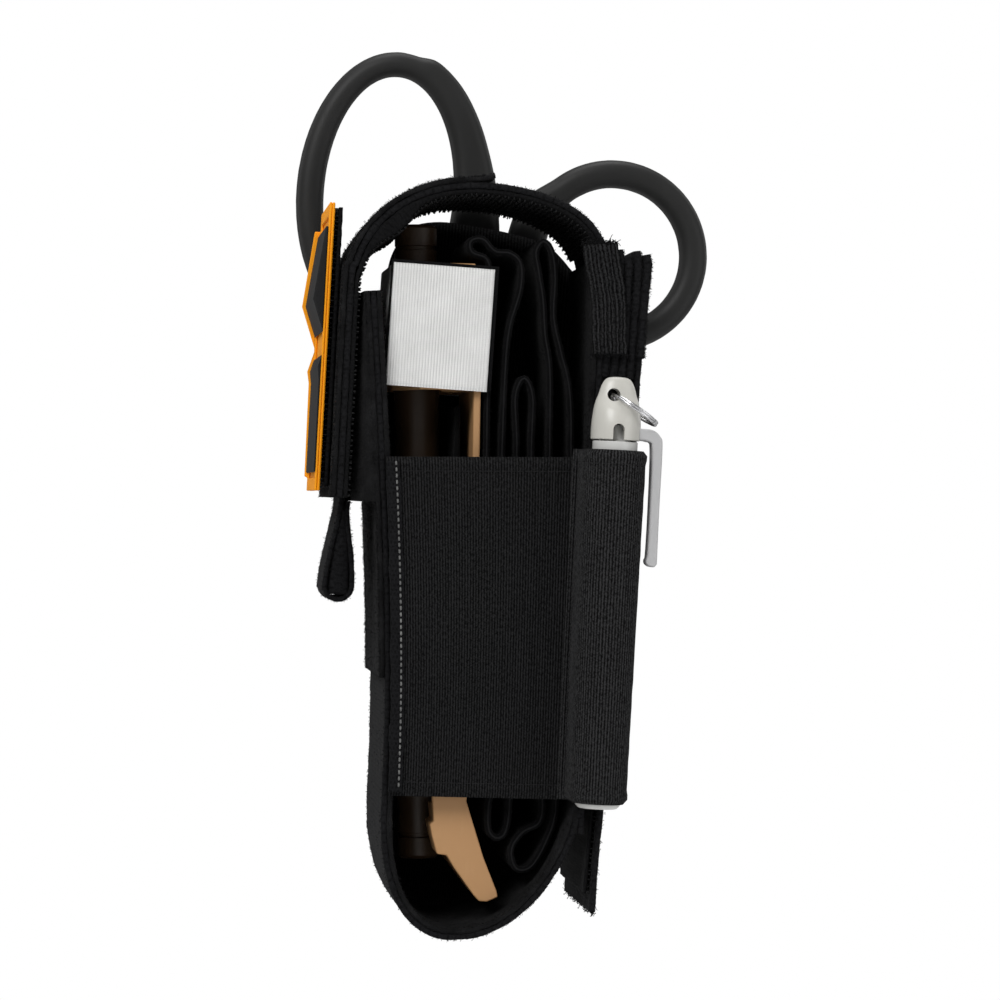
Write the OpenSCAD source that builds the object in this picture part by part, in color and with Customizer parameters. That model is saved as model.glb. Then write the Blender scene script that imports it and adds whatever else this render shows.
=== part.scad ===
// Belt holder with a packed windlass tourniquet, shears and a marker. Millimetres.
// X runs from the flap's front towards the wearer, Y across the kit, Z up.
// The origin is the centre of the sewn pad at the back, which the holder hangs from.

/* [Holder] */
// Width of the holder's webbing
strap_w = 50; // [48:0.5:52]
// Thickness of the outer webbing ply
web_t = 1.4; // [1:0.1:1.4]
// Thickness of the loop lining
lining_t = 1.2; // [0.8:0.1:1.2]
// Thickness of the ribbed elastic
elastic_t = 1.4; // [1:0.1:1.4]
// Height of the sewn pad above the middle of the pouch
pad_z = 58; // [40:1:70]

/* [Flap] */
// Thickness of the flap's outer ply
flap_outer_t = 1.7; // [1.2:0.1:1.7]
// Thickness of the flap's hook ply
flap_inner_t = 1.5; // [1:0.1:1.5]
// Thickness of the flap's loop cover, from its crown down its front
flap_cover_t = 1.3; // [0.8:0.1:1.3]
// Width of the rubber patch
patch_w = 36; // [32:1:48]

/* [Tourniquet] */
// Width of the tourniquet's band
band_w = 38; // [30:1:38]
// Thickness of the band
band_t = 1.8; // [1.2:0.1:1.8]
// Lean of the packed tourniquet towards the flap's front
tourniquet_lean = 4; // [4:0.1:4.2]
// Length of the windlass rod
rod_length = 150; // [140:1:150]
// Diameter of the windlass rod's ends
rod_d = 10; // [9:0.5:11]
// Height of the time strap along the rod
time_strap_h = 29; // [22:1:29]

/* [Shears] */
// Inner radius of the small finger loop
small_loop_r = 16.8; // [14:0.1:18]
// Thickness of the plastic handles
handle_t = 7; // [6:0.5:7]
// Thickness of each blade
blade_t = 1.7; // [1.2:0.1:1.7]

/* [Marker] */
// Diameter of the marker's barrel
marker_d = 10.4; // [8:0.2:10.4]
// Diameter of the split ring, to the middle of its wire
ring_d = 12; // [11:0.5:12.5]

/* [Hidden] */

smooth_fn = 64;
far = 400;
gap = 0.1;

// The U of the main strap, as the line between its two plies: [x, z] points
front_top = [-63.4, 57];
front_foot = [-50.5, -62];
bottom = [-34, -89.5];
back_foot = [-6.4, -56];
back_top = [-12.1, 69];
front_leg = bezier(front_top, [-57.5, 15], [-52, -20], front_foot, 16);
front_bend = bezier(front_foot, [-49.8, -80], [-43, -89.5], bottom, 10);
back_bend = bezier(bottom, [-20, -89.5], [-8.5, -75], back_foot, 10);
back_slope = (back_top.x - back_foot.x) / (back_top.y - back_foot.y);
back_leg = [
    for (z = [back_foot.y, back_foot.y + 1, back_top.y]) [back_foot.x + back_slope * (z - back_foot.y), z]
];
u_path = joined([front_leg, front_bend, back_bend, back_leg]);

// The flap, from its root on the back leg, over the top and down the front
flap_root = [-12.1, 70.4];
flap_crown = [-40, 82.6];
flap_bend = [-68.2, 58];
flap_end = [-66.6, 9];
arch_back = bezier(flap_root, [-15, 80.5], [-30, 83], flap_crown, 12);
arch_front = bezier(flap_crown, [-52, 82.3], [-67, 76.5], flap_bend, 16);
arch_split = 8;
flap_top_path = joined([arch_back, slice(arch_front, 0, arch_split)]);
flap_front_path = joined([slice(arch_front, arch_split, 16), [flap_bend, flap_end]]);
flap_w = strap_w - 1;
cover_start = 11;
flap_gap = 0.2;

// Side panels: the near one is cut on a slant at both hems,
// and the far one fills the U and stands up under the flap
near_hems = [[-70, 18], [0, 24], [0, -55.8], [-70, -59.8]];
far_mouth = [back_top, [-19, 75], [-29, 77.3], [-39, 78.2], [-46, 78.4], [-52, 77], [-55, 74], [-57.4, 68.5],
    [-58.8, 61], front_top];
panel_face = strap_w / 2 + elastic_t;

// Sewn pad and belt strap
pad_top = 68.5;
pad_foot = 47;
belt_strap_t = 1.6;
belt_strap_end = -82;
belt_hook_t = 1.6;
belt_grip = [-54, -38];

// Rubber patch on the flap's front, from its foot to its top
patch_foot = 10;
patch_top = 77;
patch_x = -70.1;
patch_tilt = 1.87;
hook_t = 1.9;
base_t = 0.7;
border_t = 0.6;
border_w = 3;
outline_t = 1.1;
upper_rim = [[0, 62.6], [-1.4, 62.6], [-3.5, 44.3], [0, 34.5]];
upper_pad = [[0, 61.4], [-0.6, 61.4], [-2.7, 44.3], [0, 36.8]];
lower_rim = [[0, 33.5], [-1.4, 28.7], [-0.9, 26], [-0.7, 3.4], [0, 3.2]];
lower_pad = [[0, 31.6], [-0.8, 28.7], [-0.4, 25.6], [-0.4, 4.4], [0, 4.2]];

// Pull tab: a folded loop of webbing with a round end
tab_t = 1.2;
tab_w = 25;
tab_r = 2.6;
tab_top = 6.9;
tab_centre = [-65.5, -11.8];

// Tourniquet, in a frame that leans with it
tourniquet_x = -34;
plate_t = 1.7;
plate_x = -1.9;
plate_top = 65;
plate_foot = -46;
clip_span = [36.5, 66];
clip_half = 19.4;
strap_top = 65.7;
strap_x = -22.2;
rod_x = -13;
rod_tilt = 1.2;
rod_top = 76;
grip_r = rod_d / 2;
shaft_r = grip_r + 0.4;
rod_slot = [2.4, 26];
rod_room = -5.4;
buckle_outline = [
    [-10, plate_foot], [-0.6, plate_foot], [-2, -59], [2.2, -72], [5.4, -79.8], [5.7, -81.2],
    [3.2, -82.3], [1.3, -82.2], [0, -80.8], [-4.7, -74.4], [-6.4, -71.6], [-8.7, -71.3],
    [-9.9, -67.2], [-10.5, -64.3], [-9.6, -63.7], [-10, -59]
];
band_route = [
    [1.5, -44], [1.5, -12], [1.4, 22], [1.3, 50], [1.5, 62], [0.7, 67], [-2.8, 68.6],
    [-3.2, 71.2], [-0.4, 71.8], [2.6, 69], [6.2, 68.6], [8.7, 66], [8.6, 60], [6.4, 52], [5.5, 43],
    [5, 22], [5, -12], [5.1, -40], [4.2, -54], [3.2, -60.5], [3.5, -65.8], [5.5, -67.6],
    [7.5, -65.6], [8.2, -58], [8.4, -40], [8.5, -12], [8.5, 22], [7.9, 35], [9.9, 39.6], [12, 35],
    [11.9, 22], [12.2, -12], [13.6, -40], [15.7, -56], [15.4, -63.5], [11.3, -66.2], [8.8, -70.2],
    [10, -74.6], [13.4, -74.2], [16.6, -69], [18.9, -62], [18.8, -52], [17.8, -35], [16.9, -12],
    [16.2, 22], [15.9, 41], [14.6, 50], [14, 58], [12.8, 65], [12.2, 69.2], [14, 71.6], [16, 69],
    [16.8, 63], [16.6, 54], [18.4, 46], [20.6, 37], [21.2, 22], [21.2, -12], [21, -38]
];

// Shears, in the plane on the far side of the pouch
shears_y = 32;
pivot = [-25.8, 24];
loop_span = [-10, 20];
loop_x = [-49.5, -10.5];
loop_y = 37.6;
big_loop = [-58.8, 84.5];
small_loop = [-2.2, 74.6];
small_tube = 7;
handle_foot = 34;
handle_split = 66;
tang_top = 48;
layer_gap = 0.05;
pin_r = 2.5;
pin_head_r = 4.2;

// Marker, in a frame that leans with its sleeve
marker_x = -5.3;
marker_y = -33.6;
marker_lean = 2.15;
marker_r = marker_d / 2;
marker_bore = marker_r - 0.9;
barrel_span = [-54, 27];
sleeve_span = [-56, 25];
sleeve_bore = 5.6;
sleeve_r = sleeve_bore + elastic_t;
cap_foot = 27.3;
cap_r = 5.7;
cap_shoulder = 34;
cap_top = 41.8;
lug_t = 3.4;
ring_hole = [-1.1, 37.6];
ring_hole_r = 1.5;
wire_r = 0.6;
ring_droop = 31;

function bezier(a, b, c, d, n) = [
    for (i = [0:n]) let (t = i / n, u = 1 - t)
        u * u * u * a + 3 * u * u * t * b + 3 * u * t * t * c + t * t * t * d
];
function joined(paths) = [
    for (k = [0:len(paths) - 1], i = [(k == 0 ? 0 : 1):len(paths[k]) - 1]) paths[k][i]
];
function slice(path, a, b) = [for (i = [a:b]) path[i]];
function reversed(path) = [for (i = [len(path) - 1:-1:0]) path[i]];
function heading(path, i) =
    let (a = path[max(i - 1, 0)], b = path[min(i + 1, len(path) - 1)]) (b - a) / norm(b - a);
function beside(path, s) = [
    for (i = [0:len(path) - 1]) let (d = heading(path, i)) path[i] + s * [-d.y, d.x]
];
function ply(path, s0, s1) = concat(beside(path, s0), reversed(beside(path, s1)));
function spline(a, b, c, d, t) =
    0.5 * (2 * b + (c - a) * t + (2 * a - 5 * b + 4 * c - d) * t * t + (3 * b - a - 3 * c + d) * t * t * t);
function smoothed(p, n) = [
    for (i = [0:len(p) - 2], j = [0:n - 1])
        spline(p[max(i - 1, 0)], p[i], p[i + 1], p[min(i + 2, len(p) - 1)], j / n),
    p[len(p) - 1]
];
function leg_x(z) = back_foot.x + back_slope * (z - back_foot.y) + web_t * sqrt(1 + back_slope * back_slope);

// Moves the holder's own frame to the centre of the sewn pad
module hung() {
    translate([0, 0, -pad_z]) children();
}

// Extrudes an [x, z] outline across the kit, centred on y
module across(w, y = 0) {
    translate([0, y + w / 2, 0]) rotate([90, 0, 0]) linear_extrude(w) children();
}

module tourniquet_frame() {
    hung() translate([tourniquet_x, 0, 0]) rotate([0, -tourniquet_lean, 0]) children();
}

module marker_frame() {
    hung() translate([marker_x, marker_y, 0]) rotate([0, -marker_lean, 0]) children();
}

module patch_frame() {
    hung() translate([patch_x, 0, patch_foot]) rotate([0, -patch_tilt, 0]) children();
}

module outer_strap() {
    color([0.09, 0.09, 0.09]) hung() across(strap_w) polygon(ply(u_path, -web_t, 0));
}

module strap_lining() {
    color([0.12, 0.12, 0.12]) hung() across(strap_w) polygon(ply(u_path, 0, lining_t));
}

module front_loop_panel() {
    color([0.11, 0.11, 0.11]) hung() across(strap_w)
        polygon(ply(slice(front_leg, 0, 12), -web_t - lining_t, -web_t));
}

module near_side_panel() {
    color([0.13, 0.13, 0.13]) hung() across(elastic_t, -(strap_w + elastic_t) / 2) intersection() {
        polygon(u_path);
        polygon(near_hems);
    }
}

module far_side_panel() {
    color([0.13, 0.13, 0.13]) hung() across(elastic_t, (strap_w + elastic_t) / 2)
        polygon(joined([u_path, slice(smoothed(far_mouth, 4), 0, 4 * (len(far_mouth) - 1) - 1)]));
}

module marker_sleeve() {
    color([0.15, 0.15, 0.15]) marker_frame() translate([0, 0, sleeve_span[0]])
        linear_extrude(sleeve_span[1] - sleeve_span[0]) difference() {
            union() {
                circle(sleeve_r, $fn = smooth_fn);
                translate([-sleeve_r, 0]) square([2 * sleeve_r, -marker_y - panel_face]);
            }
            circle(sleeve_bore, $fn = smooth_fn);
        }
}

module shears_loop() {
    corner = 4;
    color([0.15, 0.15, 0.15]) hung() translate([0, 0, loop_span[0]])
        linear_extrude(loop_span[1] - loop_span[0]) difference() {
            loop_outline(loop_x[0], loop_x[1], loop_y, corner);
            loop_outline(
                loop_x[0] + elastic_t, loop_x[1] - elastic_t, loop_y - elastic_t, corner - elastic_t
            );
        }
}

module loop_outline(x0, x1, y1, r) {
    translate([x0, panel_face]) square([x1 - x0, y1 - r - panel_face]);
    translate([x0 + r, panel_face]) square([x1 - x0 - 2 * r, y1 - panel_face]);
    for (x = [x0 + r, x1 - r])
        translate([x, y1 - r]) circle(r, $fn = 32);
}

module edge_keeper() {
    color([0.16, 0.16, 0.16]) hung() across(elastic_t, -(strap_w + elastic_t) / 2)
        polygon([[-16.9, 72], [-8.6, 73.2], [-4.2, 47.6], [-12.1, 46.9]]);
}

module sewn_pad() {
    color([0.1, 0.1, 0.1]) hung() across(strap_w)
        polygon([[leg_x(pad_foot), pad_foot], [0, pad_foot], [0, pad_top], [leg_x(pad_top), pad_top]]);
}

module belt_loop_patch() {
    face = -belt_strap_t - belt_hook_t - gap;
    color([0.12, 0.12, 0.12]) hung() across(strap_w - 4)
        polygon([[leg_x(belt_grip[0]), belt_grip[0]], [face, belt_grip[0]], [face, belt_grip[1]],
            [leg_x(belt_grip[1]), belt_grip[1]]]);
}

module belt_strap() {
    top = pad_foot - 1.1;
    color([0.1, 0.1, 0.1]) hung()
        translate([-belt_strap_t, -flap_w / 2, belt_strap_end])
            cube([belt_strap_t, flap_w, top - belt_strap_end]);
}

module belt_hook_patch() {
    color([0.08, 0.08, 0.08]) hung()
        translate([-belt_strap_t - belt_hook_t, -flap_w / 2 + 2, belt_strap_end + 4])
            cube([belt_hook_t, flap_w - 4, belt_grip[1] - belt_strap_end - 4]);
}

// One ply of the flap, between two distances from the line of its path
module flap_ply(path, s0, s1) {
    hung() across(flap_w) polygon(ply(path, s0, s1));
}

module flap_hook_top() {
    color([0.08, 0.08, 0.08]) flap_ply(flap_top_path, 0, flap_inner_t);
}

module flap_web_top() {
    color([0.1, 0.1, 0.1]) flap_ply(flap_top_path, -flap_outer_t, 0);
}

module flap_cover_top() {
    path = slice(flap_top_path, cover_start, len(flap_top_path) - 1);
    color([0.11, 0.11, 0.11]) flap_ply(path, -flap_outer_t - flap_cover_t, -flap_outer_t);
}

// The front part stands a little apart from the top part, so that the flap can open
module apart() {
    translate([-flap_gap, 0, -flap_gap]) children();
}

module flap_hook_front() {
    color([0.08, 0.08, 0.08]) apart() flap_ply(flap_front_path, 0, flap_inner_t);
}

module flap_web_front() {
    color([0.1, 0.1, 0.1]) apart() flap_ply(flap_front_path, -flap_outer_t, 0);
}

module flap_cover_front() {
    color([0.11, 0.11, 0.11]) apart() flap_ply(flap_front_path, -flap_outer_t - flap_cover_t, -flap_outer_t);
}

module pull_tab() {
    loop = concat(
        [[-65.8, tab_top], [-66.4, 2], [-67.6, -6]],
        [for (a = [180:20:360]) tab_centre + tab_r * [cos(a), sin(a)]],
        [[-63.4, -6], [-65, 2], [-65.6, tab_top]]
    );
    color([0.09, 0.09, 0.09]) hung() across(tab_w) polygon(ply(smoothed(loop, 3), 0, -tab_t));
}

module patch_hook() {
    color([0.06, 0.06, 0.06]) patch_frame()
        translate([-hook_t, -patch_w / 2 + 1, 1]) cube([hook_t, patch_w - 2, patch_top - patch_foot - 2]);
}

module patch_base() {
    color([0.12, 0.12, 0.12]) patch_frame()
        translate([-hook_t - base_t, -patch_w / 2, 0]) cube([base_t, patch_w, patch_top - patch_foot]);
}

module patch_border() {
    h = patch_top - patch_foot;
    color([0.93, 0.5, 0.05]) patch_frame() translate([-hook_t - base_t, 0, 0]) {
        difference() {
            translate([-border_t, -patch_w / 2, 0]) cube([border_t, patch_w, h]);
            translate([-far, border_w - patch_w / 2, border_w])
                cube([2 * far, patch_w - 2 * border_w, h - 2 * border_w]);
        }
        translate([-border_t, 0, 0]) across(outline_t, (patch_w - outline_t) / 2) {
            polygon(upper_rim);
            polygon(lower_rim);
        }
    }
}

module patch_pad(pad) {
    color([0.12, 0.12, 0.12]) patch_frame() translate([-hook_t - base_t - border_t, 0, 0])
        across(patch_w - outline_t, -outline_t / 2) polygon(pad);
}

module patch_upper_pad() {
    patch_pad(upper_pad);
}

module patch_lower_pad() {
    patch_pad(lower_pad);
}

module base_plate() {
    color([0.68, 0.52, 0.38]) tourniquet_frame()
        translate([plate_x, -band_w / 2, plate_foot]) cube([plate_t, band_w, plate_top - plate_foot]);
}

module windlass_clip() {
    half = [
        [plate_x, 0], [plate_x, clip_half], [-14.5, clip_half], [-20.2, 8], [-19.3, 5.6],
        [-17.8, 6.3], [-13.3, clip_half - 1.7], [plate_x - 1.5, clip_half - 1.7], [plate_x - 1.5, 4],
        [-8.2, 4], [-8.2, 0]
    ];
    color([0.68, 0.52, 0.38]) tourniquet_frame() translate([0, 0, clip_span[0]])
        linear_extrude(clip_span[1] - clip_span[0])
            polygon(concat(half, [for (i = [len(half) - 2:-1:1]) [half[i].x, -half[i].y]]));
}

module windlass_rod() {
    foot = rod_top - rod_length;
    grip = 15;
    groove = 0.5;
    color([0.18, 0.12, 0.08]) tourniquet_frame() translate([rod_x, 0, 0]) rotate([0, -rod_tilt, 0])
        difference() {
            rotate_extrude($fn = smooth_fn) polygon([
                [0, foot], [grip_r - 0.8, foot], [grip_r, foot + 0.8],
                [grip_r, foot + 5], [grip_r - groove, foot + 5], [grip_r - groove, foot + 6],
                [grip_r, foot + 6], [grip_r, foot + grip - 1], [shaft_r, foot + grip],
                [shaft_r, rod_top - grip], [grip_r, rod_top - grip + 1],
                [grip_r, rod_top - 6], [grip_r - groove, rod_top - 6], [grip_r - groove, rod_top - 5],
                [grip_r, rod_top - 5], [grip_r, rod_top - 0.8], [grip_r - 0.8, rod_top], [0, rod_top]
            ]);
            translate([-far, -rod_slot[0] / 2, -rod_slot[1] / 2]) cube([2 * far, rod_slot[0], rod_slot[1]]);
        }
}

module friction_buckle() {
    color([0.68, 0.52, 0.38]) tourniquet_frame() difference() {
        across(band_w + 2) polygon(buckle_outline);
        for (z = [-53, -60])
            translate([-far, -band_w / 2 + 2, z]) cube([2 * far, band_w - 4, 3]);
        translate([rod_room - far, -grip_r - 1.8, -far]) cube([far, rod_d + 3.6, 2 * far]);
    }
}

module self_adhering_band() {
    color([0.07, 0.07, 0.07]) tourniquet_frame() across(band_w)
        polygon(ply(smoothed(band_route, 3), -band_t / 2, band_t / 2));
}

module tension_band() {
    color([0.09, 0.09, 0.09]) tourniquet_frame()
        translate([-5.5, -12.5, plate_foot]) cube([1.2, 25, 79]);
}

module windlass_tape() {
    color([0.09, 0.09, 0.09]) tourniquet_frame()
        translate([-18.1, -0.6, -12]) cube([12.6, 1.2, 24]);
}

module time_strap_wrap() {
    t = 1.2;
    outer = clip_half + 0.4 + t;
    color([0.85, 0.85, 0.83]) tourniquet_frame() translate([0, 0, strap_top - time_strap_h])
        linear_extrude(time_strap_h) polygon([
            [strap_x, -clip_half], [strap_x, outer], [1, outer], [1, outer - t],
            [strap_x + t, outer - t], [strap_x + t, -clip_half]
        ]);
}

module time_strap_face() {
    color([0.86, 0.86, 0.85]) tourniquet_frame()
        translate([strap_x + 0.3, -clip_half - 2, strap_top - time_strap_h])
            cube([23.4, 0.8, time_strap_h]);
}

module time_strap_backing() {
    color([0.08, 0.08, 0.08]) tourniquet_frame()
        translate([strap_x + 0.4, -clip_half - 1.2, strap_top - time_strap_h - 0.4])
            cube([23.8, 0.8, time_strap_h + 0.8]);
}

module big_handle() {
    limb = [[-54, 119.2], [-49.7, 118.4], [-45.3, 115.1], [-41.8, 111.2], [-38.8, 106.4], [-36.6, 101.8],
        [-34.6, 96.4], [-32.8, 90.6], [-31.4, 84], [-30.4, 76], [-29.4, handle_split]];
    upper = joined([smoothed(limb, 3), [limb[len(limb) - 1], [-46, handle_split], [-44.2, 76], [-50, 100]]]);
    lower = [[-29.4, handle_split], [-22, 48], [-19.5, handle_foot], [-32.5, handle_foot],
        [-38, 48], [-46, 60], [-46, handle_split]];
    color([0.13, 0.13, 0.14]) hung() difference() {
        union() {
            across(handle_t, shears_y) difference() {
                union() {
                    translate(big_loop) loop_curve(22.8, 35.2);
                    polygon(upper);
                }
                translate(big_loop) loop_curve(15.9, 29);
            }
            across(handle_t / 2 - layer_gap, shears_y - handle_t / 4 - layer_gap / 2) difference() {
                polygon(lower);
                translate(big_loop) loop_curve(15.9, 29);
            }
        }
        across(blade_t, shears_y - layer_gap - blade_t / 2) polygon(fixed_tang());
    }
}

module loop_curve(rx, rz) {
    polygon([for (a = [0:6:354]) [rx * cos(a), rz * sin(a)]]);
}

function tang(foot, top) = [
    [foot[0], handle_foot - 8], [foot[1], handle_foot - 8], [top[1], tang_top], [top[0], tang_top]
];
function fixed_tang() = tang([-31, -21], [-30, -24]);
function moving_tang() = tang([-30.6, -20.6], [-28, -22]);

module pivot_hole(r) {
    translate([pivot.x, shears_y + far / 2, pivot.y]) rotate([90, 0, 0])
        cylinder(r = r, h = far, $fn = smooth_fn);
}

module fixed_blade() {
    blade = [[-31, handle_foot - 8], [-33, 24], [-33, 10], [-31.5, -30], [-31.5, -62], [-29.5, -68],
        [-25, -70], [-23.4, -66], [-23.4, -52], [-22.5, 0], [-19.6, 18], [-19.6, 28], [-21, handle_foot - 8]];
    color([0.7, 0.71, 0.72]) hung() difference() {
        across(blade_t, shears_y - layer_gap - blade_t / 2) {
            polygon(blade);
            polygon(fixed_tang());
        }
        pivot_hole(pin_r);
    }
}

module moving_blade() {
    blade = [[-30.6, handle_foot - 8], [-32, 28], [-32, 16], [-28.6, -10], [-27.6, -50], [-24.8, -63],
        [-22.4, -56], [-19.4, -20], [-18.6, 10], [-18.6, 26], [-20.6, handle_foot - 8]];
    color([0.72, 0.73, 0.74]) hung() difference() {
        across(blade_t, shears_y + layer_gap + blade_t / 2) {
            polygon(blade);
            polygon(moving_tang());
        }
        pivot_hole(pin_r + layer_gap);
    }
}

module pivot_screw() {
    color([0.75, 0.75, 0.76]) hung() translate([pivot.x, shears_y, pivot.y]) rotate([-90, 0, 0]) {
        translate([0, 0, -2.2]) cylinder(r = pin_r, h = 4.3, $fn = smooth_fn);
        translate([0, 0, 2 * layer_gap + blade_t]) cylinder(r = pin_head_r, h = 1.3, $fn = smooth_fn);
    }
}

module pivot_nut() {
    color([0.66, 0.66, 0.67]) hung() translate([pivot.x, shears_y, pivot.y]) rotate([90, 0, 0]) difference() {
        translate([0, 0, layer_gap + blade_t]) cylinder(r = pin_head_r, h = 1.3, $fn = smooth_fn);
        cylinder(r = pin_r, h = 2.2, $fn = smooth_fn);
    }
}

module small_handle() {
    upper = [[-12, 94.5], [-18.5, 92], [-24.2, 88], [-27.2, 84], [-28.6, 78], [-29, handle_split],
        [-19, handle_split], [-17.5, 74]];
    lower = [[-29, handle_split], [-31, 48], [-32, handle_foot], [-19.5, handle_foot],
        [-17.5, 48], [-19, handle_split]];
    color([0.13, 0.13, 0.14]) hung() difference() {
        union() {
            across(handle_t, shears_y) difference() {
                union() {
                    translate(small_loop) circle(small_loop_r + small_tube, $fn = smooth_fn);
                    polygon(upper);
                }
                translate(small_loop) circle(small_loop_r, $fn = smooth_fn);
            }
            across(handle_t / 2 - layer_gap, shears_y + handle_t / 4 + layer_gap / 2) polygon(lower);
        }
        across(blade_t, shears_y + layer_gap + blade_t / 2) polygon(moving_tang());
    }
}

module marker_barrel() {
    color([0.8, 0.8, 0.79]) marker_frame() difference() {
        translate([0, 0, barrel_span[0]])
            cylinder(r = marker_r, h = barrel_span[1] - barrel_span[0], $fn = smooth_fn);
        translate([0, 0, -far]) cylinder(r = marker_bore, h = 2 * far, $fn = smooth_fn);
    }
}

module ink_reservoir() {
    color([0.3, 0.3, 0.34]) marker_frame() translate([0, 0, -49])
        cylinder(r = marker_bore - 0.6, h = 67, $fn = smooth_fn);
}

module nib_holder() {
    color([0.78, 0.78, 0.77]) marker_frame() rotate_extrude($fn = smooth_fn) polygon([
        [1.1, 18.1], [marker_bore, 18.1], [marker_bore, 26.8], [2.9, 27.4], [2, 30.8], [1.1, 30.8]
    ]);
}

module felt_nib() {
    color([0.1, 0.1, 0.12]) marker_frame() rotate_extrude($fn = smooth_fn) polygon([
        [0, 18.1], [1.1, 18.1], [1.1, 31.8], [0.5, 32.6], [0, 32.6]
    ]);
}

module end_plug() {
    color([0.78, 0.78, 0.77]) marker_frame() rotate_extrude($fn = smooth_fn) polygon([
        [0, -57.2], [marker_r - 0.8, -57.2], [marker_r, -56.4], [marker_r, barrel_span[0]],
        [marker_bore, barrel_span[0]], [marker_bore, -50], [0, -50]
    ]);
}

module marker_cap() {
    lug_foot = cap_shoulder - 1;
    color([0.79, 0.79, 0.77]) marker_frame() difference() {
        union() {
            translate([0, 0, cap_foot]) cylinder(r = cap_r, h = cap_shoulder - cap_foot, $fn = smooth_fn);
            intersection() {
                across(lug_t) union() {
                    translate([0, 37]) circle(cap_top - 37, $fn = smooth_fn);
                    polygon([[-cap_r, lug_foot], [cap_r, lug_foot], [4.5, 38.6], [-4.5, 38.6]]);
                }
                cylinder(r = cap_r, h = far, $fn = smooth_fn);
            }
        }
        translate([0, 0, cap_foot - 1]) cylinder(r = marker_bore, h = 3.4, $fn = smooth_fn);
        translate([0, 0, cap_foot]) cylinder(r = 3.2, h = 5.8, $fn = smooth_fn);
        across(far) translate(ring_hole) circle(ring_hole_r, $fn = smooth_fn);
        across(2 * cap_r, -cap_r) {
            translate([-1.3, cap_foot - 1]) square([2.6, 3.4]);
            translate([0, cap_foot + 2.4]) circle(1.3, $fn = smooth_fn);
        }
    }
}

module cap_clip() {
    color([0.73, 0.73, 0.73]) marker_frame() difference() {
        across(5) polygon([
            [4.6, 28.2], [9.2, 28.2], [9.2, 1.6], [8, 0.6], [8, -0.4], [9.4, -1.6], [10.8, -1],
            [10.8, 29], [9.8, 30.4], [4.6, 30.6]
        ]);
        translate([0, 0, 20]) cylinder(r = cap_r, h = 20, $fn = smooth_fn);
    }
}

module split_ring() {
    color([0.78, 0.78, 0.8]) marker_frame()
        translate([ring_hole.x, 0, ring_hole.y]) rotate([0, ring_droop, 0]) translate([ring_d / 2, 0, 0])
            rotate_extrude($fn = smooth_fn) translate([ring_d / 2, 0]) circle(wire_r, $fn = 24);
}

outer_strap();
strap_lining();
front_loop_panel();
near_side_panel();
far_side_panel();
marker_sleeve();
shears_loop();
edge_keeper();
sewn_pad();
belt_loop_patch();
belt_strap();
belt_hook_patch();
flap_hook_top();
flap_web_top();
flap_cover_top();
flap_hook_front();
flap_web_front();
flap_cover_front();
pull_tab();
patch_hook();
patch_base();
patch_border();
patch_upper_pad();
patch_lower_pad();
base_plate();
windlass_clip();
windlass_rod();
friction_buckle();
self_adhering_band();
tension_band();
windlass_tape();
time_strap_wrap();
time_strap_face();
time_strap_backing();
big_handle();
fixed_blade();
pivot_screw();
pivot_nut();
small_handle();
moving_blade();
marker_barrel();
ink_reservoir();
nib_holder();
felt_nib();
end_plug();
marker_cap();
cap_clip();
split_ring();
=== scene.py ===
import math
from collections import namedtuple

import bmesh
import bpy
import numpy as np
from mathutils import Matrix, Vector


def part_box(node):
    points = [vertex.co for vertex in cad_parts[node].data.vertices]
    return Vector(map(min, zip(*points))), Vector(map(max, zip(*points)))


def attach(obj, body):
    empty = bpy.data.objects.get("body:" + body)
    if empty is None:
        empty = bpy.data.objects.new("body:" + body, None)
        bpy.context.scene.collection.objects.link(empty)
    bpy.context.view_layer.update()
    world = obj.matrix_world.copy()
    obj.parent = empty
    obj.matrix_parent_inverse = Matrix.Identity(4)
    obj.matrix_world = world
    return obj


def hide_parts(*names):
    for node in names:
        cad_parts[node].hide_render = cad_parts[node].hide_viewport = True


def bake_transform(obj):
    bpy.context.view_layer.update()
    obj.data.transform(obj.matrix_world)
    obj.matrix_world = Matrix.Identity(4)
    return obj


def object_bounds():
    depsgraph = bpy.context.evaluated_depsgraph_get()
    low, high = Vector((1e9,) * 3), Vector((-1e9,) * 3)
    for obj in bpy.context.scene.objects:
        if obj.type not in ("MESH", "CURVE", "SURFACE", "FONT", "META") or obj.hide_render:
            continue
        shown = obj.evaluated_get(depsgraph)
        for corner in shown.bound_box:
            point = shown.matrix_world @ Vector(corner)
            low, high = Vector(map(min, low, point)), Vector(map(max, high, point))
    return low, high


# Builds the looks of a belt holder packed with a windlass tourniquet, shears and a marker.
# Lengths are in millimetres in the part's frame, and Cloth.make() turns them into metres.

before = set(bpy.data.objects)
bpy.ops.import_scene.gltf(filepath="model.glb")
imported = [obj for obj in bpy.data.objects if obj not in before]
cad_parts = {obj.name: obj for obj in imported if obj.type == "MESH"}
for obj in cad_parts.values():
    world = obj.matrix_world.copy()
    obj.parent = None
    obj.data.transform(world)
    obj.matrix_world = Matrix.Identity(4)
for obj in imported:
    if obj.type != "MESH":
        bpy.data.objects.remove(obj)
cad_low, cad_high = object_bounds()

MM = 0.001
TAU = 2 * math.pi
# The tourniquet and the marker are laid out from a level this far below the origin.
PAD_Z = 58.0


# Camera, lights and floor

LENS = 128.5
CAMERA_AT = (-0.1166, -0.8453, -0.0542)
CAMERA_TARGET = (-0.0281, 0, -0.0464)
CAMERA_ROLL = math.radians(5)
AMBIENT = 0.26


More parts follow.
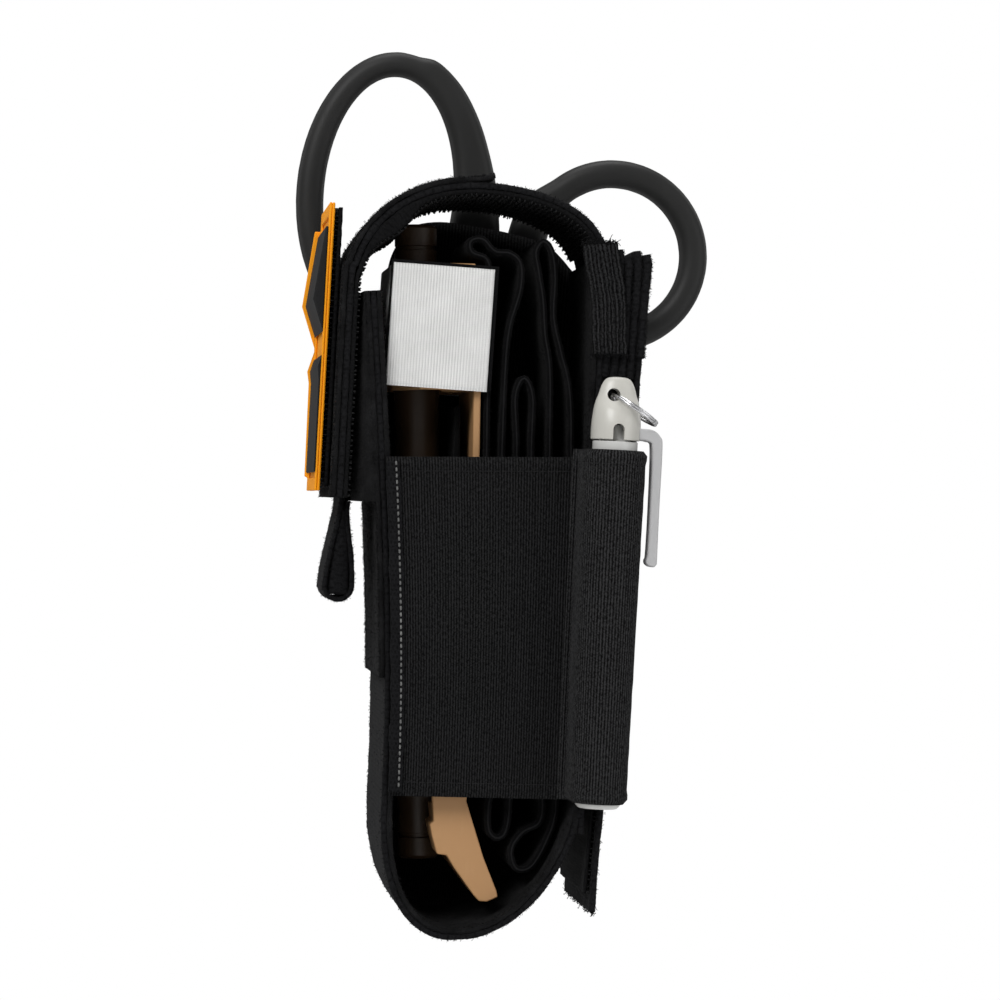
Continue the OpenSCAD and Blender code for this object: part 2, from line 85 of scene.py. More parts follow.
def aimed(location, target, up=(0, 0, 1)):
    """The matrix of a camera or light at location that looks at target."""
    back = (Vector(location) - Vector(target)).normalized()
    right = Vector(up).cross(back).normalized()
    turn = Matrix((right, back.cross(right), back)).transposed().to_4x4()
    return Matrix.Translation(location) @ turn


def linked(name, data):
    """A new object in the scene."""
    thing = bpy.data.objects.new(name, data)
    bpy.context.scene.collection.objects.link(thing)
    return thing


def add_camera():
    data = bpy.data.cameras.new("camera")
    data.sensor_width = 36
    data.lens = LENS
    camera = linked("camera", data)
    up = (-math.sin(CAMERA_ROLL), 0, math.cos(CAMERA_ROLL))
    camera.matrix_world = aimed(CAMERA_AT, CAMERA_TARGET, up)
    bpy.context.scene.camera = camera


def add_light(name, location, target, width, height, power):
    data = bpy.data.lights.new(name, "AREA")
    data.shape = "RECTANGLE"
    data.size = width
    data.size_y = height
    data.energy = power
    light = linked(name, data)
    light.matrix_world = aimed(location, target)
    light.visible_camera = False


def add_world():
    """White where the camera sees it, and a weaker even light on everything else."""
    world = bpy.data.worlds.new("studio")
    bpy.context.scene.world = world
    world.use_nodes = True
    tree = world.node_tree
    tree.nodes.clear()
    path = tree.nodes.new("ShaderNodeLightPath")
    mix = tree.nodes.new("ShaderNodeMixShader")
    end = tree.nodes.new("ShaderNodeOutputWorld")
    tree.links.new(path.outputs["Is Camera Ray"], mix.inputs[0])
    for socket, strength in ((mix.inputs[1], AMBIENT), (mix.inputs[2], 1.0)):
        light = tree.nodes.new("ShaderNodeBackground")
        light.inputs["Strength"].default_value = strength
        light.inputs["Color"].default_value = (1, 1, 1, 1)
        tree.links.new(light.outputs[0], socket)
    tree.links.new(mix.outputs[0], end.inputs["Surface"])
    bpy.context.scene.view_settings.view_transform = "Standard"



# Mesh building

class Cloth:
    """Collects grids of points, with their place in the cloth in millimetres, and makes one mesh of them."""

    def __init__(self):
        self.points, self.places, self.faces, self.slots = [], [], [], []
        self.count = 0

    def add(self, points, places, faces, slot=0):
        points = np.asarray(points, float).reshape(-1, 3)
        self.points.append(points)
        self.places.append(np.broadcast_to(np.asarray(places, float).reshape(-1, 3), points.shape))
        self.faces += [tuple(int(i) + self.count for i in f) for f in faces]
        self.slots += [slot] * len(faces)
        self.count += len(points)

    def shell(self, rings, places, slot=0):
        """A tube of n rings of m points, capped at its ends."""
        n, m = rings.shape[:2]
        i = np.arange(n - 1)[:, None]
        j = np.arange(m)[None, :]
        a, b = i * m + j, i * m + (j + 1) % m
        faces = np.stack([a, b, b + m, a + m], -1).reshape(-1, 4).tolist()
        faces += [list(range(m))[::-1], [(n - 1) * m + k for k in range(m)]]
        self.add(rings, places, faces, slot)

    def make(self, name, materials):
        data = bpy.data.meshes.new(name)
        data.from_pydata((np.concatenate(self.points) * MM).tolist(), [], self.faces)
        place = data.attributes.new("cloth", "FLOAT_VECTOR", "POINT")
        place.data.foreach_set("vector", np.concatenate(self.places).astype(np.float32).ravel())
        for material in materials:
            data.materials.append(material)
        data.polygons.foreach_set("material_index", np.array(self.slots, np.int32))
        data.polygons.foreach_set("use_smooth", np.full(len(self.faces), True))
        shape = bmesh.new()
        shape.from_mesh(data)
        bmesh.ops.recalc_face_normals(shape, faces=shape.faces)
        shape.to_mesh(data)
        shape.free()
        return linked(name, data)


def lean(points, origin, degrees):
    """Turns local [x, y, z] points about y, and moves them to origin."""
    points = np.asarray(points, float)
    a = math.radians(degrees)
    x = points[..., 0] * math.cos(a) - points[..., 2] * math.sin(a)
    z = points[..., 0] * math.sin(a) + points[..., 2] * math.cos(a)
    return np.stack([x, points[..., 1], z], -1) + np.asarray(origin, float)


def outline(node):
    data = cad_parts[node].data
    co = np.array([v.co for v in data.vertices]) / MM
    near = co[:, 1].min() + 0.01
    keys = {}
    spot = [keys.setdefault((round(p[0], 3), round(p[2], 3)), len(keys)) for p in co]
    times = {}
    for face in data.polygons:
        if all(co[v][1] < near for v in face.vertices):
            ring = [spot[v] for v in face.vertices]
            for a, b in zip(ring, ring[1:] + ring[:1]):
                edge = (min(a, b), max(a, b))
                times[edge] = times.get(edge, 0) + 1
    beside = {}
    for (a, b), n in times.items():
        if n == 1:
            beside.setdefault(a, []).append(b)
            beside.setdefault(b, []).append(a)
    points = np.array(list(keys))
    ring = [next(iter(beside))]
    while True:
        onward = [k for k in beside[ring[-1]] if len(ring) < 2 or k != ring[-2]]
        if onward[0] == ring[0] or len(ring) > len(beside):
            return points[ring]
        ring.append(onward[0])


def middle_line(node):
    """The [x, z] line midway through a CAD ply, from its front end, and the ply's thickness."""
    ring = outline(node)
    half = len(ring) // 2

    def apart(k):
        turned = np.roll(ring, -k, 0)
        return np.linalg.norm(turned[:half] - turned[half:2 * half][::-1], axis=1)

    k = min(range(half), key=lambda k: apart(k).std() + 0.001 * apart(k).mean())
    turned = np.roll(ring, -k, 0)
    line = (turned[:half] + turned[half:2 * half][::-1]) / 2
    if line[0][0] >= line[-1][0]:
        line = line[::-1]
    return line, float(apart(k).mean())


def ply(node):
    low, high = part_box(node)
    return *middle_line(node), (high.y - low.y) / MM


def run_length(points):
    """How far along a line each of its points is."""
    return np.concatenate([[0], np.cumsum(np.linalg.norm(np.diff(points, axis=0), axis=1))])


def resampled(points, distances):
    """The points at the given distances along a line."""
    length = run_length(points)
    return np.stack([np.interp(distances, length, points[:, k]) for k in range(points.shape[1])], -1)


def smooth_line(points, step):
    """A Catmull-Rom curve through the points, sampled evenly."""
    points = np.asarray(points, float)
    padded = np.vstack([2 * points[0] - points[1], points, 2 * points[-1] - points[-2]])
    a, b, c, d = padded[:-3], padded[1:-2], padded[2:-1], padded[3:]
    t = np.linspace(0, 1, 12, endpoint=False)[None, :, None]
    a, b, c, d = (q[:, None, :] for q in (a, b, c, d))
    curve = 2 * b + (c - a) * t
    curve = curve + (2 * a - 5 * b + 4 * c - d) * t ** 2 + (3 * b - a - 3 * c + d) * t ** 3
    curve = np.vstack([(0.5 * curve).reshape(-1, points.shape[1]), points[-1:]])
    length = run_length(curve)[-1]
    even = np.linspace(0, length, max(3, int(round(length / step)) + 1))
    return resampled(curve, even), even


def left_normals(line):
    along = np.gradient(line, axis=0)
    along /= np.linalg.norm(along, axis=1)[:, None] + 1e-12
    return np.stack([-along[:, 1], along[:, 0]], -1)


def ripple(a, b, size, seed):
    """Smooth seeded noise over the cloth, about -1 to 1, whose bumps are about size across."""
    draws = np.random.default_rng(seed)
    total = 0
    for _ in range(8):
        turn, phase = draws.uniform(0, TAU, 2)
        pace = TAU / size * draws.uniform(0.55, 1.5)
        total = total + np.sin((a * math.cos(turn) + b * math.sin(turn)) * pace + phase)
    return total / 3.2


def on_edge(a, b, w):
    return np.stack([a, w, b], -1)


def upright(a, b, w):
    """A point of a path seen from above, with the cloth's width upright."""
    return np.stack([a, b, w], -1)


Strap = namedtuple("Strap", "line s out thick")


def ribbon(cloth, path, width, thick, middle=0.0, step=0.5, columns=24, relief=None, edge=None,
           place=on_edge, slot=0, start=0.0):
    """A strap along a path, with rounded edges.

    relief(s, y, side) raises its faces, and edge(s) moves its two edges out.
    """
    line, s = smooth_line(path, step)
    out = left_normals(line)
    half, r = width / 2, thick / 2
    corner = half - r * np.array([0, 0.08, 0.3, 0.62, 1.0])
    inner = np.linspace(-half + r, half - r, columns)[1:-1]
    y = np.concatenate([-corner, inner, corner[::-1]])
    roundness = np.sqrt(np.clip(1 - (np.clip(np.abs(y) - (half - r), 0, r) / r) ** 2, 0, 1))
    grids, places = [], []
    for side, keep in ((1, slice(None)), (-1, slice(-2, 0, -1))):
        yy, ss = np.meshgrid(y[keep], s)
        rise = roundness[keep][None, :] * (r + (0 * ss if relief is None else relief(ss + start, yy, side)))
        w = yy if edge is None else yy + np.sign(yy) * (np.abs(yy) / half) ** 10 * edge(s + start)[:, None]
        n = side * rise
        a = line[:, 0:1] + out[:, 0:1] * n
        b = line[:, 1:2] + out[:, 1:2] * n
        grids.append(place(a, b, w + middle))
        places.append(np.stack([ss + start, w, n], -1))
    cloth.shell(np.concatenate(grids, 1), np.concatenate(places, 1), slot)
    return Strap(line, s, out, thick)


def threads(cloth, lines, radius, sides, slot):
    """Thin tubes along many short lines of equal count: lines is [count, rings, 3]."""
    lines = np.asarray(lines, float)
    count, rings, _ = lines.shape
    along = np.gradient(lines, axis=1)
    along /= np.linalg.norm(along, axis=2, keepdims=True) + 1e-12
    helper = np.where(np.abs(along[..., 1:2]) < 0.8, [[[0.0, 1.0, 0.0]]], [[[1.0, 0.0, 0.0]]])
    u = np.cross(along, helper)
    u /= np.linalg.norm(u, axis=2, keepdims=True) + 1e-12
    v = np.cross(along, u)
    turn = (np.arange(sides) / sides * TAU)[None, None, :, None]
    ring = lines[:, :, None] + radius * (np.cos(turn) * u[:, :, None] + np.sin(turn) * v[:, :, None])
    first = (np.arange(count) * rings * sides)[:, None, None]
    i = first + np.arange(rings - 1)[None, :, None] * sides
    j = np.arange(sides)
    k = (j + 1) % sides
    quads = np.stack([i + j, i + k, i + sides + k, i + sides + j], -1).reshape(-1, 4).tolist()
    ends = (first[:, 0] + j[::-1]).tolist() + (first[:, 0] + (rings - 1) * sides + j).tolist()
    cloth.add(ring, (0, 0, 0), quads + ends, slot)


def face_points(strap, side, spots):
    """Points on a strap's face, and their outward directions, at [s, y] spots."""
    a, b = (np.interp(spots[:, 0], strap.s, strap.line[:, k]) for k in (0, 1))
    n = np.stack([np.interp(spots[:, 0], strap.s, strap.out[:, k]) for k in (0, 1)], -1) * side
    n /= np.linalg.norm(n, axis=1)[:, None] + 1e-12
    out = on_edge(n[:, 0], n[:, 1], 0 * a)
    return on_edge(a, b, spots[:, 1]) + out * strap.thick / 2, out


# Fibres and hooks take a cloth's second material.
PILE_SLOT = 1


def fuzz(cloth, base, out, length, radius, seed):
    """Short curled fibres that stand on the points."""
    draws = np.random.default_rng(seed)
    count = len(base)
    lay = draws.normal(0, 1, (count, 3))
    curl = draws.normal(0, 1, (count, 3))
    size = length * draws.uniform(0.45, 1.1, (count, 1))
    t = np.linspace(0, 1, 5)[None, :, None]
    rise = np.sin(t * 0.8 * math.pi)
    line = base[:, None, :] - 0.1 * out[:, None, :] + size[:, None, :] * (
        0.75 * rise * out[:, None, :] + 0.8 * t * lay[:, None, :] + 0.3 * rise * curl[:, None, :])
    threads(cloth, line, radius, 3, PILE_SLOT)


def edge_spots(strap, half, band, count, seed):
    """Spots that crowd towards a strap's two long edges."""
    draws = np.random.default_rng(seed)
    y = (half - np.abs(draws.normal(0, band, count)).clip(0, half)) * draws.choice([-1, 1], count)
    return np.stack([draws.uniform(0, strap.s[-1], count), y], -1)


def lint(cloth, strap, side, spots, length, radius, seed, raised=0.0):
    """Fibres on a strap's face, or raised a little above it, at the spots."""
    base, up = face_points(strap, side, spots)
    fuzz(cloth, base + raised * up, up, length, radius, seed)


def frayed_edges(cloth, strap, half, band, count, length, seed, raised=0.0):
    """Fibres that crowd towards the long edges of both faces."""
    for side in (1, -1):
        spots = edge_spots(strap, half, band, count, seed + side)
        lint(cloth, strap, side, spots, length, 0.055, seed + 3 + side, raised)


def worn_face(cloth, strap, side, half, band, crowded, loose, length, seed):
    """Fibres that crowd towards a face's two edges, and loose ones all over it."""
    draws = np.random.default_rng(seed + 1)
    spread = np.stack([draws.uniform(0, strap.s[-1], loose), draws.uniform(-half, half, loose)], -1)
    spots = np.vstack([edge_spots(strap, half, band, crowded, seed), spread])
    lint(cloth, strap, side, spots, length, 0.06, seed + 2)


HOOK_PITCH = 1.25
HOOK_R = 0.17


def add_hooks(cloth, strap, side, width, ends, height, sag=lambda s: 0 * s):
    """Rows of nylon hooks on a tape's face, bent over across it. sag(s) is how far the face stands out."""
    s = np.arange(ends[0], strap.s[-1] - ends[1], HOOK_PITCH)
    y = np.arange(0.5 - width / 2, width / 2 - 0.3, HOOK_PITCH)
    spots = np.stack(np.meshgrid(s, y, indexing="ij"), -1).reshape(-1, 2)
    spots += np.random.default_rng(11).uniform(-0.25, 0.25, spots.shape) * HOOK_PITCH
    base, out = face_points(strap, side, spots)
    base += out * sag(spots[:, :1])
    draws = np.random.default_rng(5)
    each = (len(base), 1, 1)
    way = draws.choice([-1.0, 1.0], each)
    tall = height * draws.uniform(0.78, 1.0, each)
    turn = np.linspace(0, 1.35 * math.pi, 6)[None, :, None]
    stem = np.array([0.0, 0.35])[None, :, None]
    r = 0.3 * tall
    up = np.concatenate([tall * stem, tall * 0.68 + r * np.sin(turn)], 1)
    over = np.concatenate([0 * tall * stem, r * (1 - np.cos(turn))], 1)
    line = base[:, None, :] + up * out[:, None, :] + over * way * np.array([0.0, 1.0, 0.0])
    threads(cloth, line, HOOK_R, 4, PILE_SLOT)


# Vertices nearer than this are one.
SAME_POINT = 0.004


def cad_copy(node, name, material, merge):
    """A copy of a CAD node's shape, with vertices merged within merge and its flat faces made whole."""
    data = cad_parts[node].data.copy()
    data.name = name
    data.materials.clear()
    data.materials.append(material)
    shape = bmesh.new()
    shape.from_mesh(data)
    bmesh.ops.remove_doubles(shape, verts=shape.verts, dist=merge * MM)
    bmesh.ops.dissolve_limit(shape, angle_limit=math.radians(0.4), verts=shape.verts, edges=shape.edges)
    for face in shape.faces:
        face.smooth = True
    shape.to_mesh(data)
    shape.free()
    return linked(name, data)


def bevelled(thing, width, segments, degrees):
    """Rounds the edges that turn by more than degrees, and returns the modifier."""
    cut = thing.modifiers.new("edges", "BEVEL")
    cut.width = width * MM
    cut.segments = segments
    cut.limit_method = "ANGLE"
    cut.angle_limit = math.radians(degrees)
    return cut


def refined(node, material, name, bevel, body, slot, segments=3):
    """A moulded piece: the CAD node's shape with its edges really rounded."""
    thing = cad_copy(node, name, material, SAME_POINT)
    bevelled(thing, bevel, segments, 32).harden_normals = True
    thing.modifiers.new("normals", "WEIGHTED_NORMAL").keep_sharp = True
    settle(thing, body, slot, node)


def settle(thing, body, slot, *nodes):
    """Rides a finished piece on its body, in place of the CAD nodes that it stands for; a piece given a blend
    of two bodies rides on none and keeps its place.
    """
    if isinstance(body, str):
        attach(thing, body)
    else:
        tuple(body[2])
        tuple(body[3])
        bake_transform(thing)
    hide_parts(*nodes)
    return thing


# Finishes

class Finish:
    """A material's node tree, with short calls for the nodes that the finishes share."""

    def __init__(self, name, **values):
        self.material = bpy.data.materials.new(name)
        self.material.use_nodes = True
        self.tree = self.material.node_tree
        self.shader = next(n for n in self.tree.nodes if n.type == "BSDF_PRINCIPLED")
        for key, value in values.items():
            self.shader.inputs[key.replace("_", " ")].default_value = value

    def put(self, socket, value):
        if isinstance(value, bpy.types.NodeSocket):
            self.tree.links.new(value, socket)
        else:
            socket.default_value = value

    def node(self, kind, inputs, **settings):
        """A new node, with its settings, and a value or a link for each input."""
        node = self.tree.nodes.new("ShaderNode" + kind)
        for key, value in settings.items():
            setattr(node, key, value)
        for key, value in inputs.items():
            self.put(node.inputs[key], value)
        return node

    def math(self, operation, a, b=0.0, c=0.0):
        return self.node("Math", {0: a, 1: b, 2: c}, operation=operation).outputs[0]

    def cloth(self):
        """The place in the cloth in millimetres: along it, across it and up from its middle."""
        return self.node("Attribute", {}, attribute_name="cloth").outputs["Vector"]

    def place(self):
        """The place on a solid piece at rest, in millimetres."""
        at = self.node("TexCoord", {}).outputs["Object"]
        return self.node("VectorMath", {0: at, "Scale": 1 / MM}, operation="SCALE").outputs[0]

    def split(self, vector):
        return self.node("SeparateXYZ", {0: vector}).outputs

    def stretched(self, vector, scale):
        return self.node("VectorMath", {0: vector, 1: scale}, operation="MULTIPLY").outputs[0]

    def noise(self, vector, scale, detail=3.0, roughness=0.55):
        inputs = {"Vector": vector, "Scale": scale, "Detail": detail, "Roughness": roughness}
        return self.node("TexNoise", inputs).outputs["Fac"]

    def cells(self, vector, scale):
        return self.node("TexVoronoi", {"Vector": vector, "Scale": scale}).outputs["Distance"]

    def wave(self, value, pitch, shift=0.0):
        """0 to 1, once every pitch millimetres."""
        turned = self.math("MULTIPLY_ADD", value, TAU / pitch, shift)
        return self.math("MULTIPLY_ADD", self.math("SINE", turned), 0.5, 0.5)

    def rows(self, value, pitch):
        """A shift of half a wave for each pitch passed, so that neighbouring rows alternate."""
        return self.math("MULTIPLY", self.math("FLOOR", self.math("DIVIDE", value, pitch)), math.pi)

    def sway(self, base, value, amount):
        """base, moved by amount for each unit that value is above a half."""
        return self.math("MULTIPLY_ADD", self.math("SUBTRACT", value, 0.5), amount, base)

    def ramp(self, value, stops):
        node = self.node("ValToRGB", {0: value})
        elements = node.color_ramp.elements
        while len(elements) < len(stops):
            elements.new(0.5)
        for element, (at, colour) in zip(elements, stops):
            element.position = at
            element.color = (*colour, 1)
        return node.outputs[0]

    def mix(self, share, a, b):
        return self.node("Mix", {0: share, 6: (*a, 1), 7: (*b, 1)}, data_type="RGBA").outputs[2]

    def between(self, value, low, high):
        """A value of 0 to 1 spread over low to high."""
        return self.math("MULTIPLY_ADD", value, high - low, low)

    def colour(self, value):
        self.put(self.shader.inputs["Base Color"], value)

    def roughness(self, value):
        self.put(self.shader.inputs["Roughness"], value)

    def bump(self, height, distance):
        """Raises the surface by up to distance millimetres."""
        raised = self.node("Bump", {"Distance": distance * MM, "Strength": 1.0, "Height": height})
        self.put(self.shader.inputs["Normal"], raised.outputs[0])


def woven(name, dark, light, rib, yarn, roughness=0.9, sheen=0.015, lift=0.1):
    """Webbing: a plain weave, with yarns rib apart along it and yarn apart across it, dusty and worn."""
    f = Finish(name, Sheen_Weight=sheen, Sheen_Roughness=0.5, Specular_IOR_Level=0.08)
    at = f.cloth()
    s, y, _ = f.split(at)
    strayed = f.sway(s, f.noise(at, 0.5, 2.0), 1.6)
    over = f.wave(strayed, rib)
    under = f.wave(y, yarn, f.rows(strayed, rib))
    yarns = f.between(f.math("MAXIMUM", over, under), 0.4, 1.0)
    weave = f.math("MULTIPLY", yarns, f.between(f.noise(at, 2.2), 0.5, 1.2))
    shade = f.sway(weave, f.noise(at, 0.16, 5.0, 0.6), 0.7)
    speckled = f.sway(shade, f.noise(at, 2.6, 2.0, 0.7), 1.6)
    f.colour(f.ramp(speckled, [(0.15, dark), (1.0, light)]))
    f.roughness(f.between(f.noise(at, 0.7), roughness - 0.1, roughness + 0.08))
    f.bump(f.math("MULTIPLY_ADD", f.noise(at, 5.0), 0.35, weave), lift)
    return f.material


def brushed(name, dark, light, size=1.1, roughness=0.95, sheen=0.02, lift=0.3):
    """Loop or napped cloth: small tangled tufts of uneven height."""
    f = Finish(name, Sheen_Weight=sheen, Sheen_Roughness=0.45, Specular_IOR_Level=0.06)
    at = f.cloth()
    tufts = f.cells(at, 1 / size)
    fibres = f.noise(at, 4.5 / size, 5.0, 0.7)
    height = f.math("MULTIPLY_ADD", tufts, -0.7, fibres)
    shade = f.math("MULTIPLY_ADD", f.noise(at, 0.12, 3.0), 0.6, f.math("MULTIPLY", fibres, 0.7))
    f.colour(f.ramp(shade, [(0.42, dark), (0.68, [v * 0.5 for v in light]), (0.85, light)]))
    f.roughness(f.between(fibres, roughness - 0.12, 1.0))
    f.bump(height, lift)
    return f.material


def ribbed(name, dark, light, pitch, roughness=0.88, sheen=0.01, lift=0.06):
    """Elastic: upright cords pitch apart, crossed by fine covering yarns, with lint caught between them, and
    painted shade that darkens the valleys between the cords.
    """
    f = Finish(name, Sheen_Weight=sheen, Sheen_Roughness=0.45, Specular_IOR_Level=0.08)
    at = f.cloth()
    s, y, _ = f.split(at)
    cord = f.wave(s, pitch, -math.pi / 2)
    yarn = f.wave(y, 0.62, f.rows(s, pitch))
    grain = f.noise(f.stretched(at, (1.0, 0.55, 1.0)), 2.3, 2.0, 0.7)
    height = f.math("MULTIPLY_ADD", yarn, 0.35, grain)
    streaks = f.noise(f.stretched(at, (1.6, 0.05, 1.0)), 1.0, 4.0, 0.6)
    # Painted shade: the colour darkens in the valleys between the cords, where the ribs' shading falls; the
    # streaks vary the tone at random.
    shade = f.math("MULTIPLY", f.between(cord, 0.2, 1.0), f.between(streaks, 0.3, 1.45))
    speckled = f.sway(f.math("MULTIPLY_ADD", yarn, 0.2, shade), grain, 2.4)
    f.colour(f.ramp(speckled, [(0.2, dark), (0.62, [v * 0.45 for v in light]), (1.15, light)]))
    f.roughness(f.between(streaks, roughness - 0.12, roughness + 0.12))
    f.bump(height, lift)
    return f.material


def moulded(name, base, worn, roughness, grain=0.6, lift=0.02, specular=0.45, coat=0.0, speckle=0.25):
    """Plastic or rubber: a fine moulded grain, broad uneven polish and faint scuffs."""
    f = Finish(name, Specular_IOR_Level=specular, Coat_Weight=coat, Coat_Roughness=0.25)
    at = f.place()
    broad = f.noise(at, 0.05, 3.0, 0.5)
    fine = f.noise(at, grain * 6, 4.0, 0.6)
    streaks = f.noise(f.stretched(at, (1.0, 1.0, 0.22)), 0.5, 6.0, 0.7)
    scuff = f.ramp(streaks, [(0.56, (0, 0, 0)), (0.72, (1, 1, 1))])
    tone = f.math("MULTIPLY_ADD", scuff, speckle, f.between(broad, 0.0, 0.45))
    f.colour(f.mix(f.math("MINIMUM", tone, 1.0), base, worn))
    f.roughness(f.math("MULTIPLY_ADD", scuff, 0.12, f.between(broad, roughness - 0.06, roughness + 0.08)))
    f.bump(fine, lift)
    return f.material


def brushed_metal(name, base, dull, roughness, stretch, lift=0.006):
    """Metal with fine lines that run across stretch's small component."""
    f = Finish(name, Metallic=1.0)
    at = f.place()
    lines = f.noise(f.stretched(at, stretch), 4.0, 5.0, 0.7)
    haze = f.noise(at, 0.12, 3.0, 0.5)
    f.colour(f.mix(f.between(haze, 0.0, 0.6), base, dull))
    f.roughness(f.math("MULTIPLY_ADD", lines, 0.18, f.between(haze, roughness - 0.05, roughness + 0.1)))
    f.bump(lines, lift)
    return f.material


WEB_RIB = 1.1
WEB = woven("webbing", (0.002, 0.002, 0.0022), (0.0105, 0.0105, 0.0115), rib=WEB_RIB, yarn=0.9)
TAPE = woven("hook_tape", (0.0015, 0.0015, 0.0017), (0.007, 0.007, 0.0075), rib=0.8, yarn=0.8)
LOOP = brushed("loop_cloth", (0.0012, 0.0012, 0.0014), (0.022, 0.022, 0.023))
PILE = brushed("pile", (0.003, 0.003, 0.0033), (0.0135, 0.0135, 0.0145), size=0.6)
HOOK = moulded("hook_nylon", (0.0045, 0.0045, 0.0048), (0.014, 0.014, 0.015), 0.55, specular=0.25,
               speckle=0.4)
BAND = brushed("napped_band", (0.0014, 0.0014, 0.0016), (0.0075, 0.0075, 0.008), size=0.8, lift=0.2)
EDGE = woven("band_edge", (0.004, 0.004, 0.0043), (0.02, 0.02, 0.021), rib=0.7, yarn=0.7)
RIB = 0.66
KEEPER_RIB = 0.98
# A cord of elastic is this many points across, and one of the keeper's thicker cords is finer.
CORD_POINTS = 5
KEEPER_CORDS = 9
KEEPER_CORD_POINTS = 8
# The ribbed finish of these elastics paints shade into the valleys between their cords.
ELASTIC = ribbed("elastic", (0.0009, 0.0009, 0.001), (0.019, 0.019, 0.0197), RIB)
SLEEVE = ribbed("sleeve_elastic", (0.0014, 0.0014, 0.0015), (0.033, 0.033, 0.034), RIB)
KEEPER = ribbed("keeper_elastic", (0.001, 0.001, 0.0011), (0.027, 0.027, 0.028), KEEPER_RIB, lift=0.1)
THREAD = moulded("thread", (0.007, 0.007, 0.0075), (0.02, 0.02, 0.021), 0.6, specular=0.2, speckle=0.5)
PALE_THREAD = moulded("pale_thread", (0.09, 0.09, 0.09), (0.26, 0.26, 0.25), 0.6, speckle=0.7)
HANDLE = moulded("handle_plastic", (0.017, 0.017, 0.0168), (0.03, 0.03, 0.0295), 0.46, lift=0.012,
                 specular=0.2, speckle=0.15)
TAN = moulded("tan_plastic", (0.44, 0.235, 0.098), (0.53, 0.32, 0.16), 0.55)
BROWN = moulded("rod_plastic", (0.036, 0.02, 0.0095), (0.07, 0.042, 0.022), 0.42)
POLISHED = {"coat": 0.2, "lift": 0.006, "speckle": 0.1}
BARREL = moulded("marker_plastic", (0.60, 0.60, 0.585), (0.68, 0.68, 0.66), 0.32, **POLISHED)
CAP = moulded("cap_plastic", (0.54, 0.53, 0.485), (0.61, 0.60, 0.56), 0.34, **POLISHED)
CLIP = moulded("clip_plastic", (0.47, 0.47, 0.475), (0.56, 0.56, 0.56), 0.36, lift=0.006, speckle=0.15)
FELT = moulded("felt", (0.01, 0.01, 0.012), (0.03, 0.03, 0.035), 0.9, grain=1.5, lift=0.1, specular=0.1)
ORANGE = moulded("orange_rubber", (1.0, 0.37, 0.004), (0.86, 0.31, 0.012), 0.6, lift=0.05, specular=0.2,
                 speckle=0.4)
RUBBER = moulded("black_rubber", (0.005, 0.005, 0.0055), (0.015, 0.015, 0.016), 0.62, lift=0.05,
                 specular=0.25)
BLADE = brushed_metal("black_blade", (0.035, 0.035, 0.037), (0.06, 0.06, 0.062), 0.38, (1.0, 1.0, 0.03))
PIVOT = brushed_metal("pivot_steel", (0.50, 0.50, 0.51), (0.38, 0.38, 0.39), 0.28, (1.0, 1.0, 1.0))
CHROME = brushed_metal("ring_chrome", (0.72, 0.72, 0.73), (0.50, 0.50, 0.51), 0.16, (1.0, 1.0, 1.0),
                       lift=0.002)


def white_ribbon():
    f = Finish("white_ribbon", Sheen_Weight=0.15, Specular_IOR_Level=0.3)
    at = f.cloth()
    s, y, _ = f.split(at)
    # Painted shade: darker stripes between the ribbon's cords, where the grooves would be shaded.
    cord = f.wave(s, 0.68, -math.pi / 2)
    yarn = f.wave(y, 0.4)
    smudge = f.noise(at, 0.09, 4.0, 0.6)
    yarns = f.math("MULTIPLY_ADD", yarn, 0.08, f.math("MULTIPLY", smudge, 0.5))
    shade = f.math("MULTIPLY_ADD", cord, 0.35, yarns)
    f.colour(f.ramp(shade, [(0.1, (0.52, 0.52, 0.51)), (0.7, (0.82, 0.82, 0.81))]))
    f.roughness(f.between(smudge, 0.6, 0.8))
    f.bump(f.math("MULTIPLY_ADD", yarn, 0.4, f.noise(at, 4.0)), 0.04)
    return f.material


WHITE = white_ribbon()


# Fabric shapes

def web_relief(s, y, side):
    ribs = 0.03 * np.cos(TAU * s / WEB_RIB)
    return ribs + 0.035 * ripple(s, y, 1.5, 2) + 0.05 * ripple(s, y, 7, 3)


def web_edge(s):
    return 0.09 * ripple(s, 0 * s, 1.4, 5) + 0.12 * ripple(s, 0 * s, 9, 4)


def loop_relief(s, y, side):
    return 0.07 * ripple(s, y, 1.7, 7) + 0.06 * ripple(s, y, 9, 8)


def loop_edge(s):
    return 0.12 * ripple(s, 0 * s, 1.6, 9) + 0.12 * ripple(s, 0 * s, 11, 10)


def add_tape(name, material, place, path, z, thick, body, slot, node, relief=web_relief):
    """A flat tape that stands on edge along a plan path, from its foot to its top."""
    foot, top = z
    cloth = Cloth()
    ribbon(cloth, path, top - foot, thick, middle=(top + foot) / 2, relief=relief, place=place, columns=60)
    settle(cloth.make(name, [material]), body, slot, node)


def surface_of(kind):
    """How a cloth's faces and its edges wander."""
    return (web_relief, web_edge) if kind is WEB else (loop_relief, loop_edge)


def add_strap(name, node, kind, slot, fibres, side, seed, fills=None):
    """A ply of the holder, in webbing or in loop cloth. fills(points, thick) is how far its face swells."""
    path, thick, width = ply(node)
    plain, edge = surface_of(kind)
    middle, along = smooth_line(path, 0.5)
    room = fills(middle, thick) if fills else 0 * along

    def relief(s, y, face):
        raised = np.interp(s, along, room) * np.clip(2.6 * (1 - np.abs(2 * y / width)), 0, 1) ** 0.5
        return plain(s, y, face) + (raised if face == side else 0)

    cloth = Cloth()
    strap = ribbon(cloth, path, width, thick, relief=relief, edge=edge)
    worn_face(cloth, strap, side, width / 2, 1.4, fibres, fibres // 2, 0.27, seed)
    settle(cloth.make(name, [kind, PILE]), "holder", slot, node)


